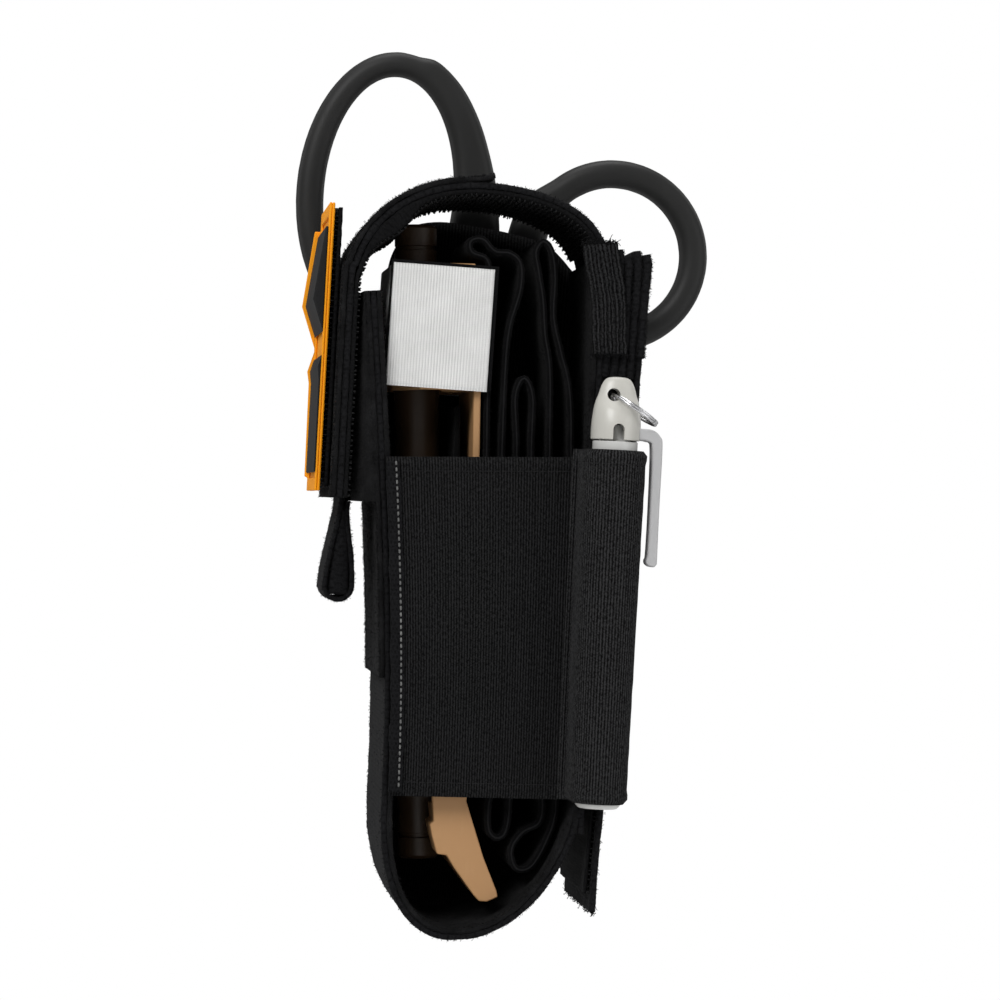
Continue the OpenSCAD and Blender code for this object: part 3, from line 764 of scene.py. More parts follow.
def add_hook_ply(name, node, side, body, base_share):
    """Hook tape: a thin woven base on the strap's side of the ply, and rows of hooks on its other side."""
    path, thick, width = ply(node)
    base_t = thick * base_share
    line, _ = smooth_line(path, 2.0)
    path = line - side * left_normals(line) * (thick - base_t) / 2
    cloth = Cloth()
    strap = ribbon(cloth, path, width, base_t, step=0.8, relief=web_relief)
    add_hooks(cloth, strap, side, width, (0.6, 0.4), thick - base_t)
    settle(cloth.make(name, [TAPE, HOOK]), body, "hook_cloth", node)


def corners(ring):
    """The front and the back side of a four-cornered outline, each from its top to its foot."""
    slant = 1.2

    def pick(x_way, z_way):
        return max(range(len(ring)), key=lambda k: z_way * ring[k][1] + x_way * slant * ring[k][0])

    def walk(a, b):
        n = len(ring)
        one = [ring[(a + k) % n] for k in range((b - a) % n + 1)]
        two = [ring[(a - k) % n] for k in range((a - b) % n + 1)]
        return min((np.array(one), np.array(two)), key=lambda line: run_length(line)[-1])

    return walk(pick(-1, 1), pick(-1, -1)), walk(pick(1, 1), pick(1, -1))


def down_line(line, share):
    """Points at the given shares of a line's drop in z."""
    z = line[0][1] + (line[-1][1] - line[0][1]) * share
    order = np.argsort(line[:, 1])
    return np.stack([np.interp(z, line[order, 1], line[order, 0]), z], -1)


def ribbed_surface(cloth, base, out, thick, pitch, height, hem=2.6, proud=0.28):
    """An elastic sheet on a [rows, columns, 3] grid: cords down it, and a turned hem at its top and foot."""
    rows, columns = base.shape[:2]
    s = np.linspace(0, (columns - 1) / CORD_POINTS * pitch, columns)[None, :] * np.ones((rows, 1))
    v = np.vstack([np.zeros((1, columns)), np.cumsum(np.linalg.norm(np.diff(base, axis=0), axis=2), axis=0)])
    drop = np.minimum(v, v[-1] - v)
    turned = proud * np.clip((hem - drop) / 0.5, 0, 1)
    wave = height * np.cos(TAU * s / pitch - math.pi) + 0.04 * ripple(s, v, 6, 21)
    rim = np.sqrt(np.clip(drop / 0.6, 0.0, 1))
    rim = rim * np.sqrt(np.clip(np.minimum(s, s[:, -1:] - s) / 0.5 + 0.05, 0, 1))
    front = base + out * ((thick / 2 + wave + turned) * rim)[..., None]
    back = base - out * ((thick / 2 - 0.1) * rim)[..., None]
    place = np.stack([s, v, 0 * s], -1)
    n = rows * columns
    a = (np.arange(rows - 1)[:, None] * columns + np.arange(columns - 1)[None, :]).ravel()
    quads = np.stack([a, a + 1, a + 1 + columns, a + columns], -1)
    rim_line = np.concatenate([
        np.arange(columns), np.arange(1, rows) * columns + columns - 1,
        np.arange(columns - 2, -1, -1) + (rows - 1) * columns, np.arange(rows - 2, 0, -1) * columns])
    after = np.roll(rim_line, -1)
    border = np.stack([after, rim_line, rim_line + n, after + n], -1)
    cloth.add(np.concatenate([front.reshape(-1, 3), back.reshape(-1, 3)]),
              np.concatenate([place.reshape(-1, 3)] * 2),
              np.concatenate([quads, quads[:, ::-1] + n, border]).tolist())
    return front


def running_stitch(cloth, points, out, length, radius, slot):
    """A short arched thread from each point towards the next."""
    points = np.asarray(points, float)
    step = np.diff(points, axis=0)
    share = length / (np.linalg.norm(step, axis=1, keepdims=True) + 1e-9)
    t = np.linspace(0, 1, 5)[None, :, None]
    line = points[:-1, None, :] + t * (step * share)[:, None, :]
    threads(cloth, line + np.sin(t * math.pi) * radius * 1.1 * np.asarray(out), radius, 6, slot)


def evenly(points, pitch):
    """The points at every pitch along a line."""
    return resampled(points, np.arange(0, run_length(points)[-1], pitch))


def between_lines(left, right, columns, y):
    """A flat [rows, columns, 3] grid between two [x, z] lines."""
    u = np.linspace(0, 1, columns)[None, :, None]
    flat = left[:, None, :] * (1 - u) + right[:, None, :] * u
    return np.stack([flat[..., 0], np.full(flat.shape[:2], y), flat[..., 1]], -1)


def standing(plan, heights):
    """A [rows, columns, 3] grid: a plan line's [x, y] points at each height."""
    return np.stack(np.broadcast_arrays(plan[None, :, 0], plan[None, :, 1], heights[:, None]), -1)


def facing(line, way):
    """A plan line's normals, turned so that its middle faces y's way."""
    out = left_normals(line)
    return out * way * np.sign(out[len(out) // 2][1])


# The holder

SIDE_RIBS = 72
SIDE_SWELL = 0.5
PANEL_ROWS = 72
CURVE_ROWS = 24
LEGS_FOOT = -60.0 - PAD_Z
LEGS_TOP = 52.0 - PAD_Z


def rim_height(ring, x, beyond, way):
    """The outline's height over each x, along its mouth (way 1) or its foot (way -1)."""
    rim = ring[way * ring[:, 1] > way * beyond]
    rim = rim[np.argsort(rim[:, 0])]
    return np.interp(x, rim[:, 0], rim[:, 1])


def panel_grid(ring, y, columns):
    """A grid over a side panel: between its two legs, and on straight to a curved mouth and foot."""
    front, back = (line[(line[:, 1] > LEGS_FOOT) & (line[:, 1] < LEGS_TOP)] for line in corners(ring))
    rows = np.linspace(0, 1, PANEL_ROWS)
    grid = between_lines(down_line(front, rows), down_line(back, rows), columns, y)
    if ring[:, 1].min() > LEGS_FOOT:
        return grid
    share = np.linspace(0, 1, CURVE_ROWS + 1)[1:, None]
    mouth, foot = np.repeat(grid[:1], CURVE_ROWS, 0), np.repeat(grid[-1:], CURVE_ROWS, 0)
    mouth[..., 2] += share[::-1] * (rim_height(ring, grid[0, :, 0], LEGS_TOP + 4.5, 1) - grid[0, :, 2])
    foot[..., 2] += share * (rim_height(ring, grid[-1, :, 0], LEGS_FOOT - 1.5, -1) + 0.3 - grid[-1, :, 2])
    return np.concatenate([mouth, grid, foot])


def add_side_panel(name, node, side):
    ring = outline(node)
    low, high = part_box(node)
    base = panel_grid(ring, (low.y + high.y) / 2 / MM, SIDE_RIBS * CORD_POINTS + 1)
    out = np.array([0.0, side, 0.0])
    u = np.linspace(0, 1, base.shape[1])[None, :]
    rows = np.linspace(0, 1, len(base))[:, None]
    base[..., 1] += side * SIDE_SWELL * np.sin(math.pi * u) ** 0.8 * np.sin(math.pi * rows) ** 0.5
    cloth = Cloth()
    face = ribbed_surface(cloth, base, out, (high.y - low.y) / MM - 0.3, RIB, 0.10)
    binding_at, binding_w = 12, 3.4
    edge = face[1:-1, binding_at]

    def on_panel(a, b, w):
        return np.stack([np.interp(b, edge[::-1, 2], edge[::-1, 0]) + w, a, b], -1)

    heights = np.linspace(edge[0, 2], edge[-1, 2], 12)
    binding = np.stack([np.full(12, edge[:, 1].mean() + side * 0.25), heights], -1)
    ribbon(cloth, binding, binding_w, 0.9, relief=web_relief, edge=web_edge, place=on_panel, columns=12,
           slot=3)
    seam = np.stack([np.full(len(edge), edge[:, 1].mean() + side * 0.72), edge[:, 2]], -1)
    running_stitch(cloth, evenly(on_panel(seam[:, 0], seam[:, 1], 0.7), 1.45), out, 0.7, 0.24, 1)
    running_stitch(cloth, evenly(face[3:-3, -9] + out * 0.05, 1.8), out, 1.2, 0.12, 2)
    for row in (3, -4):
        running_stitch(cloth, evenly(face[row] + out * 0.03, 2.1), out, 1.5, 0.1, 2)
    thing = settle(cloth.make(name, [ELASTIC, PALE_THREAD, THREAD, WEB]), "holder", "elastic", node)


MARKER_X = -5.3
MARKER_Y = -33.6
MARKER_LEAN = 2.15
MARKER_ORIGIN = (MARKER_X, MARKER_Y, -PAD_Z)
SLEEVE_R = 6.3
SLEEVE_Z = (-56.0, 25.0)


def leant(points):
    """Points of the marker's upright frame, moved to where it stands."""
    return lean(points, MARKER_ORIGIN, MARKER_LEAN)


def in_marker(a, b, w):
    return leant(upright(a, b, w))


def add_sleeve_back():
    """The ply of elastic behind the marker, which closes the sleeve where it stands beyond the side panel."""
    path = np.linspace((-6.2, 6.55), (6.2, 6.55), 6)
    z = SLEEVE_Z[0] + 0.4, SLEEVE_Z[1] - 0.4
    add_tape("sleeve_back_ply", SLEEVE, in_marker, path, z, 0.9, "holder", "elastic", "marker_sleeve")


def add_sleeve():
    """The marker's sleeve: a strip of elastic sewn down on both sides of the marker, which it bulges over."""
    foot, top = SLEEVE_Z
    flat_y = 7.1
    arc = [(math.cos(a) * SLEEVE_R, -math.sin(a) * SLEEVE_R) for a in np.linspace(0, math.pi, 15)]
    path = [(SLEEVE_R + 0.2, flat_y), (SLEEVE_R + 0.1, 3.6)] + arc
    path += [(-SLEEVE_R - 0.1, 3.6), (-SLEEVE_R - 0.5, flat_y - 0.6), (-SLEEVE_R - 2.3, flat_y)]
    line, length = smooth_line(path, RIB / CORD_POINTS)
    out = facing(line, -1)
    z = np.linspace(top, foot, 76)
    base = standing(line, z)
    base[..., 0] += out[None, :, 0] * np.linspace(0.35, -0.4, len(z))[:, None]
    cloth = Cloth()
    turned = lean(standing(out, 0 * z), (0, 0, 0), MARKER_LEAN)
    face = ribbed_surface(cloth, leant(base), turned, 1.1, RIB, 0.10)
    seam = face[2:-2, -7]
    running_stitch(cloth, evenly(seam, 1.7), (0, -1, 0), 1.1, 0.12, 1)
    running_stitch(cloth, evenly(face[3, 3:-3], 2.1), (0, -1, 0), 1.4, 0.1, 1)
    thing = settle(cloth.make("sleeve_elastic", [SLEEVE, THREAD]), "holder", "elastic", "marker_sleeve")


def add_shears_loop():
    low, high = (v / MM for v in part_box("shears_loop"))
    t, r = 1.4, 3.3
    x0, x1, y1 = low.x + t / 2, high.x - t / 2, high.y - t / 2
    bend = [(math.cos(a), math.sin(a)) for a in np.linspace(0, math.pi / 2, 6)]
    path = [(x1, low.y), (x1, y1 - r)] + [(x1 - r + r * c, y1 - r + r * s) for c, s in bend[1:]]
    path += [(x0 + r - r * s, y1 - r + r * c) for c, s in bend] + [(x0, low.y)]
    line, _ = smooth_line(path, RIB / CORD_POINTS)
    z = np.linspace(high.z, low.z, 30)
    cloth = Cloth()
    face = ribbed_surface(cloth, standing(line, z), standing(facing(line, 1), 0 * z), t - 0.3, RIB, 0.1)
    for row in (3, -4):
        running_stitch(cloth, evenly(face[row], 2.1), (0, 1, 0), 1.5, 0.1, 1)
    settle(cloth.make("shears_loop_elastic", [ELASTIC, THREAD]), "holder", "elastic", "shears_loop")


def add_keeper():
    front, back = corners(outline("edge_keeper"))
    low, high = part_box("edge_keeper")
    rows = np.linspace(0, 1, 34)
    left, right = down_line(front, rows), down_line(back, rows)
    columns = KEEPER_CORDS * KEEPER_CORD_POINTS + 1
    base = between_lines(left, right, columns, (low.y + high.y) / 2 / MM)
    base[..., 1] -= 0.35 * np.sin(math.pi * np.linspace(0, 1, base.shape[1]))[None, :]
    creases = 0.12 * ripple(base[..., 2], base[..., 0], 3.0, 33)
    base[..., 0] += 0.7 * np.sin(math.pi * rows)[:, None] ** 2 + creases
    out = np.array([0.0, -1.0, 0.0])
    cloth = Cloth()
    pitch = KEEPER_RIB * CORD_POINTS / KEEPER_CORD_POINTS
    face = ribbed_surface(cloth, base, out, 1.1, pitch, 0.17, hem=0.0, proud=0.0)
    for row, way in ((0, 1.0), (-1, -1.0)):
        ends = np.repeat(evenly(face[row], 0.16), 3, 0)
        up = np.tile([0.0, -0.15, way], (len(ends), 1))
        fuzz(cloth, ends, up, 0.7, 0.09, 31)
    settle(cloth.make("keeper_elastic", [KEEPER, PILE]), "holder", "elastic", "edge_keeper")


def box_stitch(cloth, strap, width, inset=3.0, pitch=2.4):
    """A box stitch with a cross in it, on a strap's face."""
    y = width / 2 - inset
    a, b = inset, strap.s[-1] - inset
    box = [(a, -y), (a, y), (b, y), (b, -y), (a, -y), (b, y)]
    for start, end in [*zip(box, box[1:]), ((a, y), (b, -y))]:
        spots = np.linspace(start, end, max(2, int(math.dist(start, end) / pitch) + 1))
        base, up = face_points(strap, 1, spots)
        running_stitch(cloth, base, up.mean(0), 1.7, 0.2, 2)


def add_stack(name, node, plies, kind, slot, fibres, skirt=0.0, head=0.0):
    """A sewn stack of plies that fills a CAD block between its front and back lines."""
    front, back = corners(outline(node))
    low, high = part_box(node)
    width = (high.y - low.y) / MM
    share = np.linspace(0, 1, 6)
    left, right = down_line(front, share), down_line(back, share)
    thick = np.linalg.norm(right - left, axis=1).mean() / plies - 0.06
    relief, edge = surface_of(kind)
    cloth = Cloth()
    for k in range(plies):
        at = (k + 0.5) / plies
        path = left * (1 - at) + right * at
        path[:, 0] += 0.12 * np.sin(share * 5 + k * 2.1)
        if skirt:
            path = np.vstack([path[0] + [-0.6, head * (0.8 + 0.2 * math.sin(k * 2.4))], path])
        if skirt and k < plies - 1:
            path = np.vstack([path, path[-1] - [0.0, skirt]])
        strap = ribbon(cloth, path, width - 0.25 * (k % 2), thick, relief=relief, edge=edge, start=k * 17.0)
        lint(cloth, strap, 1, edge_spots(strap, width / 2, 1.0, fibres, 40 + k), 0.3, 0.055, 50 + k)
    box_stitch(cloth, strap, width)
    settle(cloth.make(name, [kind, PILE, THREAD]), "holder", slot, node)


def flap_room(points, thick):
    """How far the front panel's pile reaches from its ply's face to the hooks on the flap, at each point."""
    hook, hook_t = middle_line("flap_hook_front")
    order = np.argsort(hook[:, 1])
    face = np.interp(points[:, 1], hook[order, 1], hook[order, 0]) + hook_t / 2
    inside = (points[:, 1] > hook[:, 1].min()) & (points[:, 1] < hook[:, 1].max())
    return np.where(inside, np.clip(points[:, 0] - thick / 2 - face - 0.2, 0, 5), 0)


def add_holder():
    add_strap("strap_outer_ply", "outer_strap", WEB, "webbing", 2500, -1, 1)
    add_strap("strap_lining_ply", "strap_lining", LOOP, "loop_cloth", 5200, 1, 4)
    add_strap("front_panel_ply", "front_loop_panel", LOOP, "loop_cloth", 4200, -1, 7, flap_room)
    add_side_panel("panel_near", "near_side_panel", -1)
    add_side_panel("panel_far", "far_side_panel", 1)
    add_sleeve()
    add_sleeve_back()
    add_shears_loop()
    add_keeper()
    add_stack("pad_plies", "sewn_pad", 5, WEB, "webbing", 900, skirt=5.0, head=3.4)
    add_stack("belt_loop_plies", "belt_loop_patch", 2, LOOP, "loop_cloth", 500)


# The belt strap

def blend_ends(a, b):
    return (a[0] * MM, 0, a[1] * MM), (b[0] * MM, 0, b[1] * MM)


def add_belt_strap():
    low, high = (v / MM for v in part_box("belt_strap"))
    x = (low.x + high.x) / 2
    z = np.linspace(low.z, high.z + 6, 14)
    path = np.stack([x + 0.25 * np.sin(z / 9), z], -1)
    path[z > high.z - 4, 0] = x - 0.3
    width, thick = high.y - low.y, high.x - low.x - 0.2
    cloth = Cloth()
    strap = ribbon(cloth, path, width, thick, relief=web_relief, edge=web_edge)
    frayed_edges(cloth, strap, width / 2, 1.2, 900, 0.32, 60)
    cut_end = np.stack(np.broadcast_arrays(x, np.linspace(-width / 2, width / 2, 260), low.z), -1)
    fuzz(cloth, cut_end, np.tile([0.0, 0.0, -1.0], (len(cut_end), 1)), 0.7, 0.1, 66)
    ends = blend_ends((x, high.z - 7), (x, high.z + 0.8))
    thing = cloth.make("belt_strap_ply", [WEB, PILE])
    settle(thing, ("belt_strap", "holder", *ends), "webbing", "belt_strap")
    add_hook_ply("belt_hook_tape", "belt_hook_patch", 1, "belt_strap", 0.55)


# The flap

def flap_line(front, top):
    """A flap ply's whole line, from its loose end to its root, its thickness and where its corner bends."""
    lower, thick = middle_line(front)
    upper, _ = middle_line(top)
    return np.vstack([lower[:-1], (lower[-1] + upper[0]) / 2, upper[1:]]), thick, upper[0]


PEEL_REACH = 7.0
ROOT_REACH = 9.0

# Every how many points of a fine line its ribbon is drawn through.
THIN = 6


def flap_parts(front, top, line, s, corner, root=True):
    """A flap ply's parts, one for each bend: name, points, start along the ply, body and CAD nodes."""
    k = int(np.argmin(np.linalg.norm(line - corner, axis=1)))
    crown = (k + (len(line) - k) // 2 if root else len(line) - 1) // THIN * THIN
    step = s[1] - s[0]
    reach = int(PEEL_REACH / step)
    ends = blend_ends(line[max(k - reach, 0)], line[min(k + reach, len(line) - 1)])
    yield "front", line[:crown + 1:THIN], 0.0, ("flap_front", "flap_top", *ends), (front, top)
    if root:
        ends = blend_ends(line[-1 - int(ROOT_REACH / step)], line[-1])
        yield "root", line[crown::THIN], s[crown], ("flap_top", "holder", *ends), (top,)


def add_flap_ply(name, front, top, kind, slot, fibres, root=True):
    path, thick, corner = flap_line(front, top)
    width = ply(front)[2]
    if root:
        path = np.vstack([path, path[-1] + [0.15, -1.7]])
    else:
        path[-1] += [0.6, 1.5]
        path[-2] += [0.0, 0.5]
    line, s = smooth_line(path, 0.5)
    relief, edge = surface_of(kind)
    for part, points, start, body, nodes in flap_parts(front, top, line, s, corner, root):
        if part == "root":
            points = np.vstack([points, line[-1]])
        cloth = Cloth()
        strap = ribbon(cloth, points, width, thick - 0.1, relief=relief, edge=edge, start=start)
        crowded, loose = (int(fibres * strap.s[-1] / share) for share in (100, 160))
        worn_face(cloth, strap, 1, width / 2, 1.3, crowded, loose, 0.28, 70)
        settle(cloth.make(name + "_" + part, [kind, PILE]), body, slot, *nodes)


SLACK_AT = 67.0
SLACK = 2.8


def slack(s):
    """How far the hook ply sags below the arch, where it is a little too long for the bend."""
    return SLACK * np.exp(-((s - SLACK_AT) / 6.5) ** 2)


def add_flap_hooks():
    """The flap's inner ply of hook tape, in two pieces, one for each bend."""
    front, top = "flap_hook_front", "flap_hook_top"
    path, thick, corner = flap_line(front, top)
    width = ply(front)[2]
    base_t = thick * 0.62
    tail = 1.4
    line, s = smooth_line(path, 0.5)
    line = line + left_normals(line) * (thick - base_t) / 2
    line = np.vstack([line, line[-1] + [0.0, -tail]])
    s = np.append(s, s[-1] + tail)

    def hook_side(s, y, side):
        return web_relief(s, y, side) + (slack(s) if side < 0 else 0)

    for part, points, start, body, nodes in flap_parts(front, top, line, s, corner):
        cloth = Cloth()
        strap = ribbon(cloth, points, width, base_t, relief=hook_side, step=0.7, start=start)
        add_hooks(cloth, strap, -1, width, (0.7, 0.5), thick - base_t, lambda s: slack(s + start))
        settle(cloth.make("flap_hook_tape_" + part, [TAPE, HOOK]), body, "hook_cloth", *nodes)


TAB_REACH = 2.4


def add_pull_tab():
    """A folded loop of webbing with a folded core, sewn between the flap's plies."""
    path, thick, width = ply("pull_tab")
    top = path[0][1]
    path = path[::2]
    path = np.vstack([path[0] + [-0.1, TAB_REACH], path, path[-1] + [0.1, TAB_REACH]])
    cloth = Cloth()
    strap = ribbon(cloth, path, width, thick - 0.1, relief=web_relief, edge=web_edge, columns=18)
    frayed_edges(cloth, strap, width / 2, 0.8, 500, 0.26, 90, raised=0.05)
    x, z = strap.line[np.argmin(strap.line[:, 1])]
    left, right = strap.line[0][0], strap.line[-1][0]
    core = np.array([((left + right) / 2, top - 1.0), (x - 0.2, z + 9), (x, z + thick)])
    ribbon(cloth, core, width - 0.5, abs(right - left), relief=lambda s, y, side: 0.115 * s * (1 - s / 60),
           columns=18)
    ends = blend_ends((x, top - 1.5), (x, top + 0.6))
    settle(cloth.make("pull_tab_loop", [WEB, PILE]), ("pull_tab", "flap_front", *ends), "webbing", "pull_tab")


def add_flap():
    add_flap_hooks()
    add_flap_ply("flap_web_ply", "flap_web_front", "flap_web_top", WEB, "webbing", 1200)
    add_flap_ply("flap_cover_ply", "flap_cover_front", "flap_cover_top", LOOP, "loop_cloth", 3600, root=False)
    add_pull_tab()


# The patch

def add_patch():
    add_hook_ply("patch_hook_tape", "patch_hook", -1, "patch", 0.5)
    refined("patch_base", ORANGE, "patch_slab", 0.35, "patch", slot="patch_orange")
    refined("patch_border", ORANGE, "patch_raised_border", 0.25, "patch", segments=2, slot="patch_orange")
    refined("patch_upper_pad", RUBBER, "patch_pad_upper", 0.4, "patch", slot="patch_black")
    refined("patch_lower_pad", RUBBER, "patch_pad_lower", 0.4, "patch", slot="patch_black")


# The tourniquet

TOURNIQUET_LEAN = 4.0
TOURNIQUET_ORIGIN = (-34.0, 0.0, -PAD_Z)


def in_tourniquet(a, b, w):
    return lean(upright(a, b, w), TOURNIQUET_ORIGIN, TOURNIQUET_LEAN)


def add_band():
    """The self-adhering band, folded up and down beside its plate."""
    path, thick, width = ply("self_adhering_band")

    def relief(s, y, side):
        seam = 0.18 * np.exp(-((width / 2 - np.abs(y) - 1.6) / 0.5) ** 2)
        return 0.06 * ripple(s, y, 1.6, 101) + 0.05 * ripple(s, y, 8, 102) - seam

    def edge(s):
        return 0.16 * ripple(s, 0 * s, 2.0, 103) + 0.25 * ripple(s, 0 * s, 26, 104)

    cloth = Cloth()
    strap = ribbon(cloth, path[::3], width, thick - 0.25, step=0.8, relief=relief, edge=edge)
    frayed_edges(cloth, strap, width / 2 - 0.6, 1.6, 4200, 0.3, 105, raised=0.025)
    for way in (-1, 1):
        selvage = on_edge(strap.line[:, 0], strap.line[:, 1], way * (width / 2 - 0.05 + edge(strap.s)))
        threads(cloth, selvage[None], 0.2, 6, 2)
    settle(cloth.make("band_folds", [BAND, PILE, EDGE]), "tourniquet", "band_black", "self_adhering_band")


STRAP_TURN = -3.0
STRAP_X = (-21.9, 1.7)
STRAP_Z = (36.7, 65.2)
STRAP_Y = -21.0
STRAP_BACK_Y = -20.2
CLIP_HALF = 19.4


def in_strap(a, b, w):
    """The time strap's frame: the tourniquet's, turned a little about the strap's middle."""
    middle = np.array([sum(STRAP_X) / 2, 0.0, sum(STRAP_Z) / 2])
    turned = lean(upright(a, b, w) - middle, middle, STRAP_TURN)
    return lean(turned, TOURNIQUET_ORIGIN, TOURNIQUET_LEAN)


def add_time_strap():
    """The white ribbon over the rod and clip: a face and a backing that open, and a wrap that stays."""
    width, height = STRAP_X[1] - STRAP_X[0], STRAP_Z[1] - STRAP_Z[0]
    ribs = 34
    z = np.linspace(STRAP_Z[1], STRAP_Z[0], 60)
    x = np.linspace(STRAP_X[0], STRAP_X[1], ribs * CORD_POINTS + 1)
    across, down = np.meshgrid(x, z)
    bulge = STRAP_Y - 0.25 * np.sin(np.linspace(0, math.pi, len(x)))[None, :] + 0 * down
    base = in_strap(across, bulge, down)
    way = np.tile([0.0, -1.0, 0.0], (*down.shape, 1))
    cloth = Cloth()
    ribbed_surface(cloth, base, way, 0.6, width / ribs, 0.06, hem=0.9, proud=0.07)
    face = settle(cloth.make("time_strap_ribbon", [WHITE]), "time_strap", "strap_white", "time_strap_face")
    path = np.linspace((STRAP_X[0] - 0.5, STRAP_BACK_Y), (STRAP_X[1] + 1.0, STRAP_BACK_Y), 10)
    z = STRAP_Z[0] + 0.2, STRAP_Z[1] + 0.8
    add_tape("time_strap_back_ply", TAPE, in_strap, path, z, 0.7, "time_strap", "hook_cloth",
             "time_strap_backing")
    wrap = [(-21.6, -CLIP_HALF), (-21.6, 0), (-21.6, 17), (-20.4, 20.2), (-17, 20.4), (-8, 20.4), (1, 20.4)]
    add_tape("time_strap_round", WHITE, in_strap, wrap, STRAP_Z, 1.0, "tourniquet", "strap_white",
             "time_strap_wrap", relief=None)


def add_tourniquet():
    refined("base_plate", TAN, "plate_moulding", 0.45, "tourniquet", slot="tan_plastic")
    refined("windlass_clip", TAN, "clip_moulding", 0.4, "tourniquet", slot="tan_plastic")
    refined("windlass_rod", BROWN, "rod_moulding", 0.12, "tourniquet", segments=2, slot="rod_brown")
    refined("friction_buckle", TAN, "buckle_moulding", 0.4, "tourniquet", slot="tan_plastic")
    add_band()
    for name, node, kind, start, end, z in (
        ("tension_ply", "tension_band", BAND, (-4.9, -12.5), (-4.9, 12.5), (-46, 33)),
        ("windlass_ply", "windlass_tape", WEB, (-18.1, 0), (-5.5, 0), (-12, 12)),
    ):
        path = np.linspace(start, end, 8)
        add_tape(name, kind, in_tourniquet, path, z, 1.2, "tourniquet", "band_black", node)
    add_time_strap()


# The shears

HANDLE_ROUND = 3.0
SHORT_EDGE = 1.1


def add_handle(name, node, body):
    """A moulded handle: the CAD plate's outline, melted round all over as the real rounded bows are."""
    thing = cad_copy(node, name, HANDLE, SHORT_EDGE)
    bevelled(thing, HANDLE_ROUND, 5, 50).use_clamp_overlap = False
    melt = thing.modifiers.new("melt", "REMESH")
    melt.mode = "VOXEL"
    melt.voxel_size = 0.55 * MM
    melt.use_smooth_shade = True
    soft = thing.modifiers.new("soft", "SMOOTH")
    soft.factor = 0.5
    soft.iterations = 22
    settle(thing, body, "handle_plastic", node)


def add_shears():
    add_handle("big_bow", "big_handle", "shears")
    add_handle("small_bow", "small_handle", "shears_lever")
    refined("fixed_blade", BLADE, "blade_fixed", 0.3, "shears", slot="blade_black")
    refined("moving_blade", BLADE, "blade_moving", 0.3, "shears_lever", slot="blade_black")
    refined("pivot_screw", PIVOT, "pivot_screw_turned", 0.25, "shears", slot="pivot_steel")
    refined("pivot_nut", PIVOT, "pivot_nut_turned", 0.25, "shears", slot="pivot_steel")


# The marker

RING_HOLE = (-1.1, 37.6)
RING_R = 6.0
RING_DROOP = 31.0


def add_ring():
    """The split ring: two turns of wire, side by side, with their ends stepped over."""
    turns = 1.9
    a = np.linspace(0, TAU * turns, 150)
    gap = 0.55
    shift = gap * (np.clip((a / TAU - 0.8) / 0.25, 0, 1) - 0.5)
    local = np.stack([RING_R - RING_R * np.cos(a), RING_R * np.sin(a), shift], -1)
    tilted = lean(local, (RING_HOLE[0], 0, RING_HOLE[1]), -RING_DROOP)
    cloth = Cloth()
    threads(cloth, leant(tilted)[None], 0.36, 12, 0)
    settle(cloth.make("ring_split", [CHROME]), "key_ring", "ring_chrome", "split_ring")


CAP_FOOT = 27.3
# The cap's profile: the height, and its half width along and across, which end in a flat lug.
CAP_SHAPE = [
    (CAP_FOOT, 5.5, 5.5), (27.6, 5.7, 5.7), (31, 5.68, 5.65), (34, 5.4, 4.9), (36, 5.0, 3.6),
    (37.6, 4.45, 2.6), (39.6, 3.85, 2.1), (41.1, 3.0, 1.6), (41.65, 2.0, 1.1), (41.8, 0.7, 0.4),
]


def extruded(ring, y):
    """The cloth of a solid whose [x, z] outline in the marker's frame runs between two values of y."""
    cloth = Cloth()
    sides = np.array([[(x, depth, z) for x, z in ring] for depth in y], float)
    cloth.shell(leant(sides), (0, 0, 0))
    return cloth


def bore(start, end, radius):
    """A round cutter between two points of the marker's frame."""
    cloth = Cloth()
    threads(cloth, leant([[start, end]]), radius, 48, 0)
    return cloth.make("bore", [CAP])


def carved(thing, cutters):
    """Cuts the cutters out of a piece, and keeps the edges of the cuts sharp."""
    for cutter in cutters:
        cut = thing.modifiers.new("cut", "BOOLEAN")
        cut.solver = "EXACT"
        cut.object = cutter
    bpy.context.view_layer.update()
    data = bpy.data.meshes.new_from_object(thing.evaluated_get(bpy.context.evaluated_depsgraph_get()))
    thing.modifiers.clear()
    thing.data = data
    for cutter in cutters:
        bpy.data.objects.remove(cutter)
    shape = bmesh.new()
    shape.from_mesh(data)
    for edge in shape.edges:
        edge.smooth = len(edge.link_faces) == 2 and edge.calc_face_angle() < math.radians(38)
    shape.to_mesh(data)
    shape.free()
    return thing


def add_cap():
    """The marker's cap: round at its foot, and drawn in smoothly to a flat lug with a hole for the ring."""
    profile, _ = smooth_line(CAP_SHAPE, 0.4)
    a = np.linspace(0, TAU, 64, endpoint=False)
    rings = np.stack([profile[:, 1:2] * np.cos(a), profile[:, 2:3] * np.sin(a), profile[:, :1] + 0 * a], -1)
    cloth = Cloth()
    cloth.shell(leant(rings), (0, 0, 0))
    x, z = RING_HOLE
    foot, notch = CAP_FOOT - 1, CAP_FOOT + 2.4
    cutters = [
        bore((x, -9, z), (x, 9, z), 1.5),
        bore((0, 0, foot), (0, 0, notch), 4.3),
        bore((0, 0, foot), (0, 0, CAP_FOOT + 5.8), 3.2),
        bore((0, -9, notch), (0, 0, notch), 1.3),
        extruded([(-1.3, foot), (1.3, foot), (1.3, notch), (-1.3, notch)], (-9, 0)).make("notch", [CAP]),
    ]
    settle(carved(cloth.make("cap_moulding", [CAP]), cutters), "cap", "cap_grey", "marker_cap")


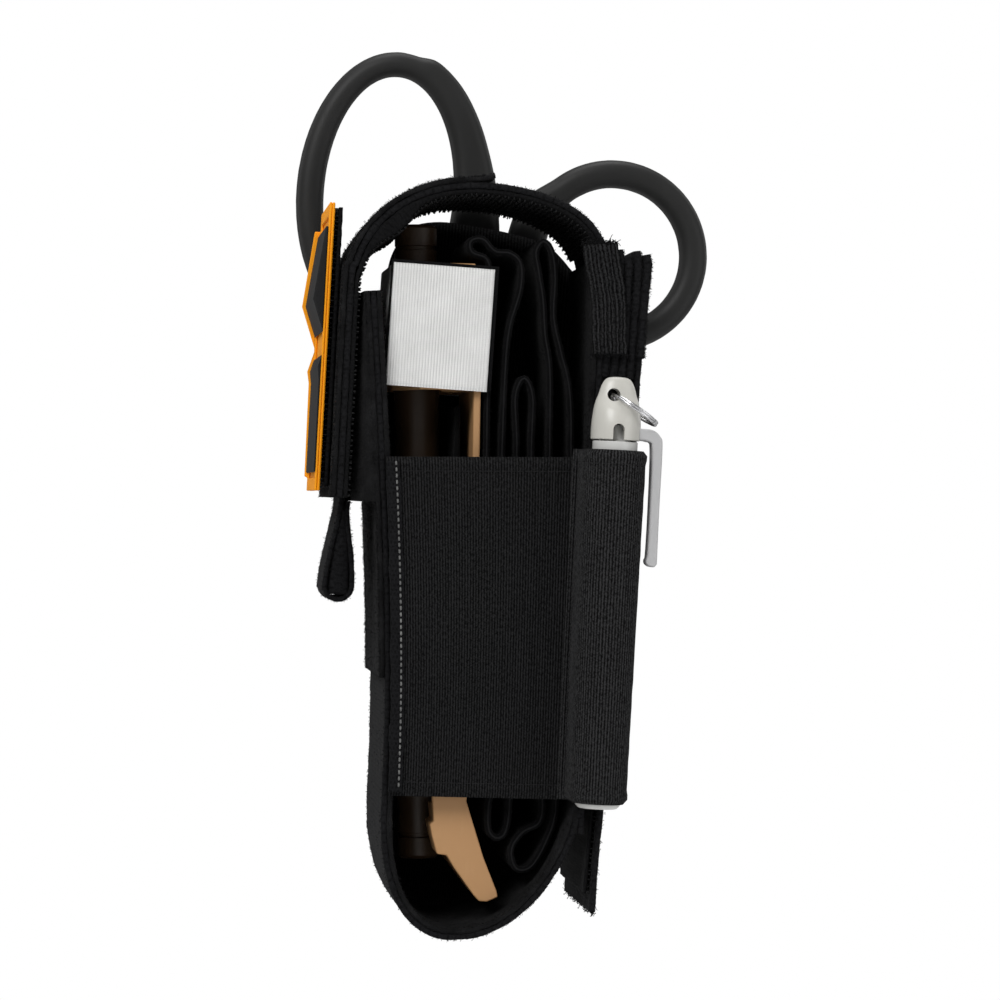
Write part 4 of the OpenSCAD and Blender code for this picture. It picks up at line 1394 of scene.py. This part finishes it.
def add_clip():
    """The cap's clip: a flat bar from the cap's foot, down over the sleeve, with a small foot of its own."""
    outer = [(4.9, 30.2), (8.2, 30.0), (10.1, 28.6), (10.75, 26), (10.7, 12), (10.75, -0.6)]
    inner = [(8.1, 0.2), (8.4, 1.6), (8.5, 12), (8.3, 25.6), (7.4, 27.2), (4.9, 27.5)]
    down, back = (smooth_line(line, 0.6)[0] for line in (outer, inner))
    ring = np.vstack([down, [(10.2, -1.5), (9.0, -1.3), (8.1, -0.7)], back])
    thing = extruded(ring, (-2.5, 2.5)).make("clip_moulding_pen", [CLIP])
    bevelled(thing, 0.6, 3, 50).harden_normals = True
    settle(thing, "cap", "clip_grey", "cap_clip")


def add_marker():
    refined("marker_barrel", BARREL, "barrel_moulding", 0.2, "marker", slot="marker_white")
    refined("end_plug", BARREL, "plug_moulding", 0.35, "marker", slot="marker_white")
    refined("nib_holder", BARREL, "nib_holder_moulding", 0.1, "marker", slot="marker_white")
    add_cap()
    add_clip()
    for node in ("felt_nib", "ink_reservoir"):
        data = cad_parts[node].data
        data.materials.clear()
        data.materials.append(FELT)
    add_ring()


def add_floor():
    """A plain pale disc well below the hanging kit."""
    data = bpy.data.meshes.new("floor")
    shape = bmesh.new()
    bmesh.ops.create_circle(shape, cap_ends=True, segments=96, radius=1.2)
    shape.to_mesh(data)
    shape.free()
    floor = linked("floor", data)
    floor.location = (-0.03, 0, cad_low.z - 0.25)
    f = Finish("pale_floor")
    grain = f.noise(f.place(), 0.02, 4.0)
    f.colour(f.mix(grain, (0.78, 0.78, 0.78), (0.84, 0.84, 0.84)))
    f.roughness(f.between(grain, 0.7, 0.9))
    data.materials.append(f.material)


def add_lights():
    centre = (-0.04, 0, -0.05)
    add_light("key", (-0.55, -0.75, 0.55), centre, 0.5, 0.5, 6.7)
    add_light("fill", (0.75, -0.6, 0.1), centre, 0.6, 0.9, 2.6)
    add_light("top", (-0.1, 0.1, 0.9), centre, 0.7, 0.5, 4.6)
    add_light("left_rim", (-0.8, 0.35, 0.15), centre, 0.3, 0.9, 0.9)
    add_light("right_rim", (0.7, 0.5, 0.3), centre, 0.3, 0.9, 1.1)
    add_light("front_low", (0.0, -0.9, -0.5), centre, 0.8, 0.4, 1.4)


add_camera()
add_world()
add_lights()
add_floor()
add_holder()
add_belt_strap()
add_flap()
add_patch()
add_tourniquet()
add_shears()
add_marker()

bpy.context.view_layer.update()
